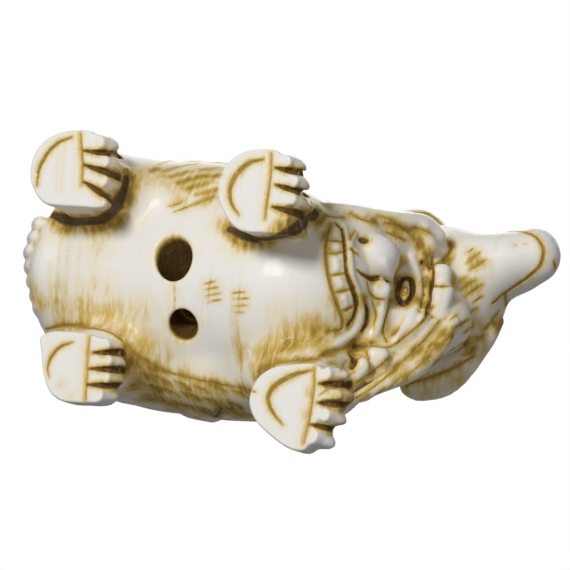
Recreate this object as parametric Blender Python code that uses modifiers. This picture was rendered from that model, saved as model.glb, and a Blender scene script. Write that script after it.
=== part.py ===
"""A carved netsuke: a squat lion-dog on four paws with a long-muzzled young animal on its back.

The animal looks along +X, +Z is up, and the soles stand on z = 0 with the origin under the middle
of the figure's box. The figure is one piece of ivory. Its masses are rounded lumps and tapered
locks, melted into one skin, and the lines of the carving are then cut into that skin.
"""

import math

import bmesh
import bpy
from mathutils import Matrix, Vector
from mathutils.bvhtree import BVHTree

# Overall size, in metres. Places and sizes of the free form are shares of it, a fiftieth each.
LENGTH = 0.046
UNIT = LENGTH / 50

# The two cord holes and the channel that joins them, in metres, and their places in units.
CORD_BORE_LARGE = 0.0031
CORD_BORE_SMALL = 0.0025
CORD_BORE_TILT = math.radians(38)
CORD_HOLES = ((-3.9, -3.1, 0.0), (-2.2, 3.5, 0.0))
CORD_BORE_FACETS = 24

# The skin: how finely the lumps are melted together, in metres, and how far joins are softened.
SKIN_GRAIN = 0.39 * UNIT
SOFTENING_STEPS = 4
SOFTENING = 0.5
SKIN_SHARE_KEPT = 0.055

# The carver's lines, in metres: half the width of each kind of cut.
LIP_LINE = 0.46 * UNIT
TOOTH_LINE = 0.26 * UNIT
TOE_WEDGE = 0.37 * UNIT
SOLE_LINE = 0.22 * UNIT
FOLD_LINE = 0.33 * UNIT
LINE_LIFT = 0.35
LINE_SPACING = 1.6

IVORY_COLOUR = (0.80, 0.76, 0.66, 1.0)
IVORY_ROUGHNESS = 0.3

HEAD_TURN = math.radians(-20)
LION_HEAD = Vector((6.0, -3.0, 0.0))
RIDER_HEAD = Vector((14.0, -5.0, 0.0))

BALL_SEGMENTS = 24
BALL_RINGS = 14
LOCK_ROUNDNESS = 2
LOCK_STEPS = 4
LINE_ROUNDNESS = 0
LINE_STEPS = 1
CURVE_ORDER = 3
SLAB_SIZE = 80
TRIM_DEPTH = 4
WELD = 0.002 * UNIT

# Each paw: its place on the ground, the way its toes point in degrees, and its length and width.
PAWS = {
    "rear_right": ((-13.9, -10.5), 12, 10.4, 8.2),
    "rear_left": ((-10.1, 9.2), -2, 9.8, 7.8),
    "front_right": ((7.1, -10.2), 6, 10.0, 8.0),
    "front_left": ((14.0, 10.2), 8, 10.6, 8.1),
}

# The shells of a pad: place along it, height, shares of its length and width, and half height.
PAD_SHELLS = ((-0.18, 1.5, 0.40, 0.49, 2.5), (-0.1, 0.0, 0.43, 0.5, 1.8))

# A toe: places along the paw, shares of its place across, heights, and shares of the paw's width.
TOES = 4
TOE = ((-0.1, 0.86, 1.4, 0.125), (0.5, 1.0, 1.9, 0.15), (0.78, 1.0, 0.9, 0.14), (0.76, 1.0, 0.2, 0.125))
OUTER_TOE = 0.86

# The wedge between two toes, in the same way, with its half width as a share of TOE_WEDGE.
TOE_GAPS = (-0.5, 0.0, 0.5)
WEDGE = ((0.16, 0.92, 0.1, 0.4), (0.5, 1.0, 0.0, 1.2), (1.05, 1.0, 0.0, 1.6), (1.05, 1.0, 2.8, 1.5))

# The line across a sole, and the arc round its heel: its middle, radii and turns in degrees.
SOLE_STEP = 0.12
SOLE_STEP_ENDS = (-1.1, 0.0, 1.1)
HEEL_ARC = (-0.1, 0.72, 0.74)
HEEL_TURNS = range(140, 266, 25)

# Each leg: its paw, and the place and half width of the shoulder or hip that it comes from.
LEGS = {
    "rear_right": ((-13.0, -8.6, 11.0), 4.9),
    "rear_left": ((-10.6, 7.4, 11.0), 4.7),
    "front_right": ((5.6, -8.4, 11.0), 4.6),
    "front_left": ((11.2, 7.4, 11.0), 4.5),
}
ANKLE = (-0.2, 2.4)
LEG_TAPER = (1.0, 0.86, 0.66)

# Lumps of each mass: middle, half sizes, and turn about the upright in degrees, in units.
BODY = (
    ((-6.5, -1.5, 15.6), (15.6, 12.4, 9.4), 0),
    ((-4.5, -1.6, 12.6), (17.0, 9.8, 7.4), 0),
    ((-13.8, -1.4, 14.2), (8.6, 10.6, 8.6), 0),
    ((4.6, -2.0, 12.6), (9.6, 9.6, 7.3), -10),
    ((3.4, 0.4, 18.0), (8.6, 10.4, 7.4), 0),
    ((-10.8, 7.0, 12.6), (6.2, 3.8, 6.8), 0),
    ((-13.8, -9.6, 12.6), (7.2, 4.2, 7.0), 0),
    ((8.2, 6.6, 13.0), (6.0, 4.4, 6.6), 0),
    ((3.6, -9.0, 13.0), (6.2, 4.2, 6.6), 0),
)
RIDER_BODY = (
    ((5.0, -3.4, 27.0), (7.0, 6.2, 5.4), 0),
    ((-4.0, -2.0, 26.6), (9.4, 6.8, 5.6), 0),
    ((-11.6, -1.4, 25.6), (6.4, 6.6, 5.8), 0),
)

# Lumps of the lion's head, and of the rider's, in each head's own turned frame.
LION_FACE = (
    ((0.0, 0.0, 17.8), (8.0, 8.0, 7.4), 0),
    ((-1.2, 0.0, 12.5), (6.8, 7.4, 5.4), 0),
    ((1.0, 0.0, 14.8), (6.2, 7.0, 3.2), 0),
    ((7.4, -0.6, 15.0), (2.9, 2.6, 2.6), 0),
    ((6.3, 2.2, 13.6), (1.3, 1.2, 1.2), 0),
    ((7.6, 2.8, 14.6), (1.3, 1.2, 1.2), 0),
    ((6.5, -2.4, 14.0), (1.5, 1.3, 1.3), 0),
    ((5.9, -3.7, 15.1), (3.0, 2.8, 2.8), 0),
    ((7.0, -3.4, 18.6), (3.2, 2.9, 3.0), 0),
    ((8.2, -3.1, 21.6), (3.4, 3.2, 3.0), 0),
    ((9.2, -2.3, 23.3), (3.0, 3.4, 3.0), 0),
    ((7.4, 1.7, 21.8), (3.4, 4.0, 3.4), 0),
    ((6.2, 4.9, 19.1), (3.6, 3.6, 3.2), 0),
    ((4.8, 5.9, 15.6), (3.2, 3.6, 3.0), 0),
    ((9.4, 1.7, 24.1), (2.8, 5.0, 3.0), 0),
    ((9.9, 5.3, 23.1), (3.4, 3.4, 3.4), 0),
    ((7.6, 7.9, 20.0), (4.0, 3.4, 4.0), 0),
    ((5.4, 10.1, 16.7), (3.6, 3.0, 3.6), 0),
    ((3.5, 11.6, 13.8), (3.0, 2.2, 3.0), 0),
)
LION_FORELOCKS = (
    ((11.2, 1.2, 22.0), (1.6, 1.1, 1.1), 0),
    ((10.8, 4.3, 21.2), (1.6, 2.0, 1.2), 0),
    ((10.5, -2.5, 21.6), (1.5, 1.4, 1.1), 0),
    ((10.4, -4.0, 20.8), (1.5, 0.8, 1.0), 0),
    ((6.5, 9.6, 13.8), (1.4, 1.2, 1.2), 0),
)
RIDER_FACE = (
    ((0.2, 0.1, 29.4), (7.0, 6.4, 5.7), 0),
    ((3.8, -0.1, 28.0), (5.6, 4.6, 4.2), 0),
    ((6.4, -0.7, 27.4), (5.2, 3.4, 2.5), 0),
    ((7.9, -0.9, 29.4), (5.2, 3.3, 2.8), 0),
    ((11.6, -0.9, 28.7), (1.9, 2.5, 2.0), 0),
    ((5.1, 3.3, 31.0), (1.5, 1.3, 1.3), 0),
    ((5.1, -3.3, 31.0), (1.5, 1.3, 1.3), 0),
)

# Tapered locks: the points that each follows, with its half width at each, in units.
LION_BROW = (
    ((9.1, 1.2, 20.9), 0.9), ((9.0, 3.6, 21.8), 1.1),
    ((7.4, 5.8, 21.2), 0.9), ((5.8, 7.2, 19.4), 0.5),
)
LION_LIP = (
    ((6.6, 0.0, 12.8), 0.8), ((5.7, 3.2, 12.7), 0.8),
    ((3.8, 5.8, 12.6), 0.85), ((1.8, 6.9, 11.1), 0.6),
)
LION_RIGHT_SHARE = 0.72
LION_LEFT_MANE = (
    (
        ((10.4, 5.6, 18.6), 0.7), ((9.0, 7.8, 16.4), 0.85),
        ((7.3, 8.9, 14.6), 0.75), ((5.1, 9.4, 12.6), 0.5),
    ),
    (
        ((10.9, 6.6, 19.4), 0.7), ((9.6, 8.8, 17.0), 0.85),
        ((7.9, 10.3, 14.8), 0.8), ((5.8, 11.7, 12.2), 0.5),
    ),
    (
        ((11.6, 6.9, 20.2), 0.7), ((10.2, 9.5, 17.6), 0.9),
        ((8.5, 11.4, 15.0), 0.85), ((6.0, 13.0, 12.0), 0.5),
    ),
    (
        ((12.4, 6.4, 21.0), 0.7), ((11.2, 9.3, 18.4), 0.9),
        ((9.3, 11.9, 15.4), 0.9), ((6.8, 13.2, 12.6), 0.8),
    ),
    (
        ((2.6, 7.4, 24.4), 1.3), ((1.4, 9.8, 20.4), 1.7),
        ((-1.0, 11.0, 16.4), 1.6), ((-4.4, 11.2, 12.8), 0.9),
    ),
    (
        ((5.6, 6.6, 23.8), 1.1), ((4.8, 9.2, 20.4), 1.5),
        ((3.0, 10.6, 16.6), 1.6), ((0.2, 11.2, 12.8), 1.0),
    ),
)
LION_RIGHT_MANE = (
    (
        ((12.1, -2.9, 22.0), 0.8), ((10.1, -4.7, 18.0), 0.9),
        ((8.2, -5.2, 15.5), 0.9), ((3.5, -6.5, 10.5), 0.6),
    ),
    (
        ((9.6, -3.8, 18.6), 0.5), ((8.9, -4.5, 17.0), 0.75),
        ((7.7, -4.8, 15.0), 0.7), ((6.3, -5.2, 13.0), 0.5),
    ),
    (
        ((2.6, -5.8, 24.6), 1.3), ((1.0, -7.8, 20.6), 1.7),
        ((-1.6, -8.6, 16.4), 1.5), ((-4.6, -8.2, 12.6), 0.9),
    ),
)
RIDER_EARS = (
    (
        ((2.9, 6.4, 29.5), 0.8), ((1.6, 8.1, 28.4), 1.5),
        ((-0.5, 8.9, 27.2), 2.1), ((-3.1, 9.0, 26.0), 1.6),
    ),
    (
        ((2.2, -5.7, 29.5), 0.7), ((1.4, -6.5, 29.0), 1.1),
        ((0.1, -7.2, 28.2), 1.3), ((-1.6, -7.8, 27.2), 1.0),
    ),
)

RIDER_LEGS = (
    (((6.4, 1.0, 27.0), 2.6), ((8.4, 4.2, 25.0), 2.3), ((9.8, 6.4, 22.4), 2.0), ((11.4, 7.0, 20.6), 1.7)),
    (
        ((4.2, -6.6, 27.0), 2.6), ((4.4, -8.8, 25.0), 2.1),
        ((4.8, -10.0, 22.2), 1.8), ((6.6, -10.4, 20.4), 1.5),
    ),
    (
        ((-12.0, 2.6, 25.0), 3.6), ((-9.4, 6.4, 24.6), 3.0),
        ((-8.6, 8.6, 22.0), 2.1), ((-5.6, 9.4, 21.0), 1.7),
    ),
    (
        ((-12.4, -5.6, 25.0), 3.6), ((-10.6, -9.0, 24.6), 3.0),
        ((-10.0, -11.2, 22.0), 2.1), ((-7.0, -12.0, 21.0), 1.7),
    ),
)
RIDER_TAIL = (
    ((-16.4, -1.4, 26.4), 1.8),
    ((-19.4, -1.2, 27.4), 1.8),
    ((-19.6, -0.6, 30.4), 1.4),
    ((-17.2, -0.4, 31.0), 0.8),
)

# The tail's locks: how many, how far they fan and from where, and each one's place, fan and half width.
TAIL_LOCKS = 6
TAIL_SPREAD = 7.4
TAIL_MIDDLE = -2.9
TAIL_LOCK = (
    (-20.4, 1.0, 7.8, 0.6),
    (-21.6, 1.0, 10.6, 1.05),
    (-21.4, 0.9, 15.6, 1.1),
    (-18.4, 0.5, 21.6, 1.0),
    (-15.4, 0.3, 24.4, 0.7),
)

# Lines cut into the skin, as rough places that are laid onto it.
LOWER_LIP = ((4.4, -5.8, 10.9), (5.4, -4.4, 10.2), (6.0, 0.0, 9.4), (5.4, 4.4, 10.2), (3.6, 6.6, 10.8))
UPPER_LIP = ((5.2, -5.0, 13.1), (6.2, -3.0, 11.9), (6.6, 0.0, 11.6), (6.2, 3.0, 11.9), (4.0, 6.2, 12.2))
TOOTH_COUNT = 7
CHEEK_FOLD = ((6.4, 4.0, 13.6), (6.8, 4.6, 15.2), (7.4, 4.6, 16.8))
MUZZLE_LINE = ((3.6, 4.4, 28.4), (7.6, 3.0, 28.2), (10.4, 1.8, 27.6), (11.4, -0.8, 27.0))
LION_EYES = ((9.0, 2.5, 19.4), (9.0, -2.9, 20.0))
EYE_RING = 1.5
RIDER_EYES = ((5.1, 3.3, 31.0), (5.1, -3.3, 31.0))
RIDER_EYE_RING = 1.4
RING_STEPS = 8


def clear_scene():
    """Takes away whatever the file opened with."""
    for obj in list(bpy.data.objects):
        bpy.data.objects.remove(obj, do_unlink=True)


def new_collection(name):
    """A collection of that name under the scene's own."""
    collection = bpy.data.collections.new(name)
    bpy.context.scene.collection.children.link(collection)
    return collection


def ivory():
    """Polished ivory, a shade warmer than white."""
    material = bpy.data.materials.new("ivory")
    material.use_nodes = True
    shader = material.node_tree.nodes["Principled BSDF"]
    shader.inputs["Base Color"].default_value = IVORY_COLOUR
    shader.inputs["Roughness"].default_value = IVORY_ROUGHNESS
    shader.inputs["Metallic"].default_value = 0.0
    return material


def on_head(head, point):
    """A place given in a turned head's frame, in the figure's own frame. Both are in units."""
    turned = Matrix.Rotation(HEAD_TURN, 3, "Z") @ Vector((point[0], point[1], 0.0))
    return Vector((head.x + turned.x, head.y + turned.y, point[2]))


def mirrored(rows):
    """The same rows on the right of a head, where the turned neck presses them together."""
    return tuple(((x, -y * LION_RIGHT_SHARE, z), width) for (x, y, z), width in rows)


def unit_ball():
    """A ball of radius one, which every rounded mass is a copy of."""
    shape = bmesh.new()
    bmesh.ops.create_uvsphere(shape, u_segments=BALL_SEGMENTS, v_segments=BALL_RINGS, radius=1.0)
    return as_mesh("ball", shape)


def add_ball(mesh, place):
    """Adds the ball under that transform."""
    if "ball" not in bpy.data.meshes:
        unit_ball()
    copy = bpy.data.meshes["ball"].copy()
    copy.transform(place)
    mesh.from_mesh(copy)
    bpy.data.meshes.remove(copy)


def add_lump(mesh, middle, half_sizes, turn):
    """Adds one rounded mass, an ellipsoid turned about the upright."""
    place = Matrix.Translation(Vector(middle) * UNIT)
    place = place @ Matrix.Rotation(turn, 4, "Z")
    add_ball(mesh, place @ Matrix.Diagonal(Vector(half_sizes) * UNIT).to_4x4())


def swept_mesh(name, lines, roundness, steps):
    """Round bars along smooth curves, as one mesh. A line is its places and half widths, in metres,
    and whether it closes on itself."""
    curve = bpy.data.curves.new(name, "CURVE")
    curve.dimensions = "3D"
    curve.bevel_depth = UNIT
    curve.bevel_resolution = roundness
    curve.resolution_u = steps
    curve.use_fill_caps = True
    for rows, closed in lines:
        spline = curve.splines.new("NURBS")
        spline.points.add(len(rows) - 1)
        for control, (place, half_width) in zip(spline.points, rows):
            control.co = (*place, 1.0)
            control.radius = half_width / UNIT
        spline.order_u = CURVE_ORDER
        spline.use_endpoint_u = not closed
        spline.use_cyclic_u = closed
    holder = bpy.data.objects.new(name, curve)
    bpy.context.scene.collection.objects.link(holder)
    bpy.context.view_layer.update()
    graph = bpy.context.evaluated_depsgraph_get()
    mesh = bpy.data.meshes.new_from_object(holder.evaluated_get(graph))
    bpy.data.objects.remove(holder, do_unlink=True)
    welded = bmesh.new()
    welded.from_mesh(mesh)
    bmesh.ops.remove_doubles(welded, verts=welded.verts, dist=WELD)
    bmesh.ops.recalc_face_normals(welded, faces=welded.faces)
    welded.to_mesh(mesh)
    welded.free()
    return mesh


def add_locks(mesh, locks):
    """Adds tapered locks of hair, limbs and ridges, each with a rounded end at both sides."""
    lines = []
    for rows in locks:
        placed = [(Vector(point) * UNIT, half_width * UNIT) for point, half_width in rows]
        lines.append((placed, False))
        for place, half_width in (placed[0], placed[-1]):
            add_ball(mesh, Matrix.Translation(place) @ Matrix.Scale(half_width, 4))
    mesh.from_mesh(swept_mesh("locks", lines, LOCK_ROUNDNESS, LOCK_STEPS))


def paw_point(paw, along, across, up):
    """A place on a paw, from its heel end to its toes and from its middle line, in units."""
    (x, y), turn, length, width = PAWS[paw]
    angle = math.radians(turn)
    forward = along * length / 2
    side = across * width / 2
    return Vector(
        (
            x + forward * math.cos(angle) - side * math.sin(angle),
            y + forward * math.sin(angle) + side * math.cos(angle),
            up,
        )
    )


def add_pad(mesh, paw):
    """Adds the flat-soled pad of a paw."""
    _, turn, length, width = PAWS[paw]
    for along, up, long_share, wide_share, half_height in PAD_SHELLS:
        half_sizes = (long_share * length, wide_share * width, half_height)
        add_lump(mesh, paw_point(paw, along, 0.0, up), half_sizes, math.radians(turn))


def toe_locks(paw):
    """The four knuckled toes of a paw, the outer two shorter."""
    width = PAWS[paw][3]
    toes = []
    for toe in range(TOES):
        across = (toe - (TOES - 1) / 2) * 2 / TOES
        reach = OUTER_TOE if toe in (0, TOES - 1) else 1.0
        rows = [(paw_point(paw, along * reach, across * side, up), wide) for along, side, up, wide in TOE]
        toes.append([(place, wide * width) for place, wide in rows])
    return toes


def leg_lock(paw):
    """The thick leg between the body and its paw."""
    top, half_width = LEGS[paw]
    along, up = ANKLE
    ankle = paw_point(paw, along, 0.0, up)
    places = (Vector(top), (Vector(top) + ankle) / 2, ankle)
    return [(place, half_width * share) for place, share in zip(places, LEG_TAPER)]


def tail_locks():
    """The tail's locks, fanned over the rump, with their lower ends behind the feet."""
    locks = []
    for lock in range(TAIL_LOCKS):
        across = (lock / (TAIL_LOCKS - 1) - 0.5) * TAIL_SPREAD + TAIL_MIDDLE
        locks.append([((x, across * spread, z), half_width) for x, spread, z, half_width in TAIL_LOCK])
    return locks


def head_locks(head, locks):
    """A head's locks in the figure's own frame."""
    return [[(on_head(head, point), half_width) for point, half_width in rows] for rows in locks]


def sculpt_mesh():
    """All the masses of the figure as one mesh of overlapping closed shells."""
    mesh = bmesh.new()
    for middle, half_sizes, turn in BODY + RIDER_BODY:
        add_lump(mesh, middle, half_sizes, math.radians(turn))
    for head, lumps in ((LION_HEAD, LION_FACE + LION_FORELOCKS), (RIDER_HEAD, RIDER_FACE)):
        for middle, half_sizes, turn in lumps:
            add_lump(mesh, on_head(head, middle), half_sizes, math.radians(turn) + HEAD_TURN)
    face = [side for rows in (LION_BROW, LION_LIP) for side in (rows, mirrored(rows))]
    locks = head_locks(LION_HEAD, [*face, *LION_LEFT_MANE, *LION_RIGHT_MANE])
    locks += head_locks(RIDER_HEAD, RIDER_EARS)
    for paw in PAWS:
        add_pad(mesh, paw)
        locks += toe_locks(paw)
        locks.append(leg_lock(paw))
    add_locks(mesh, [*locks, *RIDER_LEGS, RIDER_TAIL, *tail_locks()])
    return mesh


def melt_together(figure):
    """Melts the shells into one skin and softens the joins."""
    melt = figure.modifiers.new("melt", "REMESH")
    melt.mode = "VOXEL"
    melt.voxel_size = SKIN_GRAIN
    soften = figure.modifiers.new("soften", "SMOOTH")
    soften.factor = SOFTENING
    soften.iterations = SOFTENING_STEPS


def thin_skin(figure):
    """Leaves out faces where the skin is even."""
    thin = figure.modifiers.new("thin", "DECIMATE")
    thin.ratio = SKIN_SHARE_KEPT


def skin_of(figure):
    """A search tree of the skin as it is before any cut."""
    bpy.context.view_layer.update()
    return BVHTree.FromObject(figure, bpy.context.evaluated_depsgraph_get())


def new_cutter(name, mesh, collection):
    """Puts a cutting shape in the scene, unseen by a render."""
    cutter = bpy.data.objects.new(name, mesh)
    collection.objects.link(cutter)
    cutter.display_type = "WIRE"
    cutter.hide_render = True
    return cutter


def cut(figure, cutter):
    """Cuts that shape out of the figure."""
    modifier = figure.modifiers.new(cutter.name, "BOOLEAN")
    modifier.operation = "DIFFERENCE"
    modifier.solver = "MANIFOLD"
    modifier.object = cutter


def laid(skin, point, half_width):
    """The place on the skin nearest to a point in units, lifted so that a bar there breaks the skin."""
    place, normal = skin.find_nearest(Vector(point) * UNIT)[:2]
    return place + normal * (half_width * LINE_LIFT)


def line_on(skin, points, half_width, closed=False):
    """A cutting bar along a line laid on the skin, with places evenly spaced between the points."""
    row = [*points, points[0]] if closed else list(points)
    length = sum((Vector(b) - Vector(a)).length for a, b in zip(row[:-1], row[1:]))
    pieces = max(2, round(length / LINE_SPACING))
    shares = [step / pieces for step in range(pieces if closed else pieces + 1)]
    return [(laid(skin, along_row(row, share), half_width), half_width) for share in shares], closed


def ring_points(head, middle, radius):
    """Places round an eye, in the plane across its head."""
    x, y, z = middle
    turns = [step * math.tau / RING_STEPS for step in range(RING_STEPS)]
    return [on_head(head, (x + 1.0, y + radius * math.cos(a), z + radius * math.sin(a))) for a in turns]


def blended(start, end, share):
    """The place that share of the way from one place to another."""
    return Vector(start).lerp(Vector(end), share)


def along_row(row, share):
    """The place that share of the way along a row of points."""
    spot = share * (len(row) - 1)
    index = min(int(spot), len(row) - 2)
    return blended(row[index], row[index + 1], spot - index)


def lips():
    """The lion's lower and upper lip in the figure's own frame."""
    return [[on_head(LION_HEAD, point) for point in row] for row in (LOWER_LIP, UPPER_LIP)]


def lip_lines(skin):
    """The line under the teeth and the one over them."""
    return [line_on(skin, lip, LIP_LINE) for lip in lips()]


def tooth_lines(skin):
    """The short lines between the teeth."""
    shares = [(tooth + 0.5) / TOOTH_COUNT for tooth in range(TOOTH_COUNT)]
    return [line_on(skin, [along_row(lip, share) for lip in lips()], TOOTH_LINE) for share in shares]


def face_lines(skin):
    """The rings of the eyes, the fold of the cheek, and the rider's mouth."""
    lines = []
    rings = ((LION_HEAD, LION_EYES, EYE_RING), (RIDER_HEAD, RIDER_EYES, RIDER_EYE_RING))
    for head, eyes, radius in rings:
        lines += [line_on(skin, ring_points(head, eye, radius), FOLD_LINE, closed=True) for eye in eyes]
    lines.append(line_on(skin, [on_head(LION_HEAD, point) for point in CHEEK_FOLD], FOLD_LINE))
    half = [on_head(RIDER_HEAD, point) for point in MUZZLE_LINE]
    middle = MUZZLE_LINE[-1][1]
    other = [on_head(RIDER_HEAD, (x, 2 * middle - y, z)) for x, y, z in reversed(MUZZLE_LINE[:-1])]
    lines.append(line_on(skin, half + other, FOLD_LINE))
    return lines


def toe_lines():
    """The wedges between the toes."""
    lines = []
    for paw in PAWS:
        for gap in TOE_GAPS:
            rows = [(paw_point(paw, along, gap * side, up), wide) for along, side, up, wide in WEDGE]
            lines.append(([(place * UNIT, share * TOE_WEDGE) for place, share in rows], False))
    return lines


def sole_steps():
    """The line across each sole, behind the toes."""
    rows = [[paw_point(paw, SOLE_STEP, side, 0.0) for side in SOLE_STEP_ENDS] for paw in PAWS]
    return [([(place * UNIT, SOLE_LINE) for place in row], False) for row in rows]


def heel_arcs():
    """The arc round each heel."""
    middle, long_share, wide_share = HEEL_ARC
    rows = []
    for paw in PAWS:
        for_paw = []
        for angle in HEEL_TURNS:
            turn = math.radians(angle)
            along, across = middle + long_share * math.cos(turn), wide_share * math.sin(turn)
            for_paw.append((paw_point(paw, along, across, 0.0) * UNIT, SOLE_LINE))
        rows.append((for_paw, False))
    return rows


def line_cutter(name, lines):
    """A cutting mesh of round bars along those lines."""
    mesh = bmesh.new()
    mesh.from_mesh(swept_mesh(name, lines, LINE_ROUNDNESS, LINE_STEPS))
    return mesh


def cord_cutter(mouth, other, bore):
    """One of the two bores that slant towards each other and meet inside the belly."""
    mesh = bmesh.new()
    inward = (other - mouth).normalized()
    direction = inward * math.sin(CORD_BORE_TILT) + Vector((0, 0, math.cos(CORD_BORE_TILT)))
    start = mouth - direction * bore
    end = mouth + direction * ((other - mouth).length / 2 / math.sin(CORD_BORE_TILT) + bore / 3)
    place = Matrix.Translation((start + end) / 2)
    place = place @ direction.to_track_quat("Z", "Y").to_matrix().to_4x4()
    bmesh.ops.create_cone(
        mesh,
        cap_ends=True,
        segments=CORD_BORE_FACETS,
        radius1=bore / 2,
        radius2=bore / 2,
        depth=(end - start).length,
        matrix=place,
    )
    return mesh


def sole_slab():
    """The block below the ground that trims all four soles flat."""
    mesh = bmesh.new()
    place = Matrix.Translation(Vector((0, 0, -TRIM_DEPTH / 2)) * UNIT)
    place = place @ Matrix.Diagonal(Vector((SLAB_SIZE, SLAB_SIZE, TRIM_DEPTH)) * UNIT).to_4x4()
    bmesh.ops.create_cube(mesh, size=1.0, matrix=place)
    return mesh


def as_mesh(name, shape):
    """That shape as stored mesh data."""
    mesh = bpy.data.meshes.new(name)
    shape.to_mesh(mesh)
    shape.free()
    return mesh


def centre_on_origin(figure, others):
    """Moves the figure and its cutters so that the origin is under the middle of its box."""
    bpy.context.view_layer.update()
    evaluated = figure.evaluated_get(bpy.context.evaluated_depsgraph_get())
    corners = [Vector(vertex.co) for vertex in evaluated.to_mesh().vertices]
    middle = [(min(c[axis] for c in corners) + max(c[axis] for c in corners)) / 2 for axis in (0, 1)]
    shift = Matrix.Translation((-middle[0], -middle[1], 0.0))
    for obj in (figure, *others):
        obj.data.transform(shift)


def main():
    clear_scene()
    parts = new_collection("netsuke")
    cutters = new_collection("cutters")
    figure = bpy.data.objects.new("netsuke_figure", as_mesh("netsuke_figure", sculpt_mesh()))
    parts.objects.link(figure)
    figure.data.materials.append(ivory())
    melt_together(figure)
    skin = skin_of(figure)
    parts.objects.unlink(figure)
    large, small = (skin.ray_cast(Vector(spot) * UNIT, Vector((0, 0, 1)))[0] for spot in CORD_HOLES)
    shapes = {
        "soles": sole_slab(),
        "large_cord_hole": cord_cutter(large, small, CORD_BORE_LARGE),
        "small_cord_hole": cord_cutter(small, large, CORD_BORE_SMALL),
        "toes": line_cutter("toes", toe_lines()),
        "steps": line_cutter("steps", sole_steps()),
        "heels": line_cutter("heels", heel_arcs()),
        "lips": line_cutter("lips", lip_lines(skin)),
        "teeth": line_cutter("teeth", tooth_lines(skin)),
        "folds": line_cutter("folds", face_lines(skin)),
    }
    parts.objects.link(figure)
    made = [new_cutter(name, as_mesh(name, shape), cutters) for name, shape in shapes.items()]
    thin_skin(figure)
    for cutter in made:
        cut(figure, cutter)
    centre_on_origin(figure, made)


main()
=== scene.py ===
"""Looks of the carved netsuke: a squat lion-dog on four paws with a young animal on its back.

The figure is sculpted as a block of clay: a grid of signed distances to the skin. Masses, locks of
hair, paws and teeth are melted into it, and the burin's cuts are taken out along lines laid on the
skin. The skin is then read off the grid as one closed mesh. Places are in units, a fiftieth of the
figure's length each, in the carving's own frame: +X is where the animal looks, +Y its left, +Z up,
with the soles on z = 0. Places in the picture are counted in 570ths of its width.
"""

from __future__ import annotations

import logging
import math
from dataclasses import dataclass, field
from enum import Enum
from typing import Sequence

import bpy
import numpy as np
from mathutils import Matrix, Vector

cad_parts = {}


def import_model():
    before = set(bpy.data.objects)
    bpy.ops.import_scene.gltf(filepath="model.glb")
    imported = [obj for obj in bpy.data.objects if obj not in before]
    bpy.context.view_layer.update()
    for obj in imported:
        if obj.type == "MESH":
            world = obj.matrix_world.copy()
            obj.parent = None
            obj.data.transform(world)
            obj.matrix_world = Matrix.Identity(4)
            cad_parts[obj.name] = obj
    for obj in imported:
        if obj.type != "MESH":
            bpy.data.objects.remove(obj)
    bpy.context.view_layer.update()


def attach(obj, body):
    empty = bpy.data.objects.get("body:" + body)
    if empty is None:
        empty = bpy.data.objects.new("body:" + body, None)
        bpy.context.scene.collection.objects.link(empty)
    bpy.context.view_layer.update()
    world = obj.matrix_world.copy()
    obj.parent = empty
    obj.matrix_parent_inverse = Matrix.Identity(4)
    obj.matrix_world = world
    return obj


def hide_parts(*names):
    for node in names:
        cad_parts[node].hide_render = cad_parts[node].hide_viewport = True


# The figure's length in metres, the unit, and where the model's origin lies in the carving's own frame.
LENGTH = 0.046
UNIT = LENGTH / 50
ORIGIN = np.array((2.0287, 0.0318, 0.0))
PICTURE_STEPS = 570

# The clay's two corners, its grid steps, and the distance that an empty block holds everywhere.
CLAY_LOW = (-25.5, -16.8, -1.5)
CLAY_HIGH = (29.5, 16.8, 37.5)
CLAY_STEP = 0.145
FAR = 4.0

# A line of sight is walked from so far before the picture plane, over that reach, in those steps, and the
# place where it ends is then moved to the skin in a few more.
SIGHT_NEAR = 30.0
SIGHT_REACH = 72.0
WALK_STEP = 0.12
LAYING_STEPS = 5

# The skin is thinned to so many triangles, the more the plainer it is, in levels. Skin under the first
# height is the flat of a sole, and skin under the second keeps all its points.
MOST_TRIANGLES = 194_000
THIN_LEVELS = 4
SOLE_SKIN = 0.03
SOLE_KEPT = 0.25

# Where the lamps are aimed, in metres.
LAMP_AIM = (0.0, 0.0, 0.014)

Array = np.ndarray
Rows = Sequence[Sequence[float]]


def smooth_path(rows: Rows, steps: int, closed: bool = False) -> Array:
    """A Catmull-Rom curve through rows: each piece is a cubic of its four nearest rows.

    Args:
        rows: Places, with any further values such as a half width after them.
        steps: How many points each piece gets.
        closed: Whether the curve runs back to its start.

    Returns:
        The points of the curve, one a row, with the ends in it.
    """
    given = np.asarray(rows, float)
    if closed:
        padded = np.vstack([given[-1:], given, given[:2]])
    else:
        padded = np.vstack([2 * given[0] - given[1], given, 2 * given[-1] - given[-2]])
    pieces = len(padded) - 3
    before, start, end, after = (padded[k : k + pieces, None, :] for k in range(4))
    t = np.linspace(0, 1, steps, endpoint=False)[None, :, None]
    curve = start + 0.5 * t * (
        (end - before)
        + t * ((2 * before - 5 * start + 4 * end - after) + t * (3 * (start - end) + after - before))
    )
    curve = curve.reshape(-1, given.shape[1])
    last = given[:1] if closed else given[-1:]
    return np.vstack([curve, last])


def turned_axes(turn: float, tip: float = 0.0) -> Array:
    """The three axes of a frame turned about the upright, then tipped up at its front.

    Args:
        turn: Degrees about +Z.
        tip: Degrees by which the front rises.

    Returns:
        A 3 by 3 array with one axis in each row.
    """
    a, b = math.radians(turn), math.radians(tip)
    front = (math.cos(a) * math.cos(b), math.sin(a) * math.cos(b), math.sin(b))
    side = (-math.sin(a), math.cos(a), 0.0)
    return np.array((front, side, np.cross(front, side)))


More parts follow.
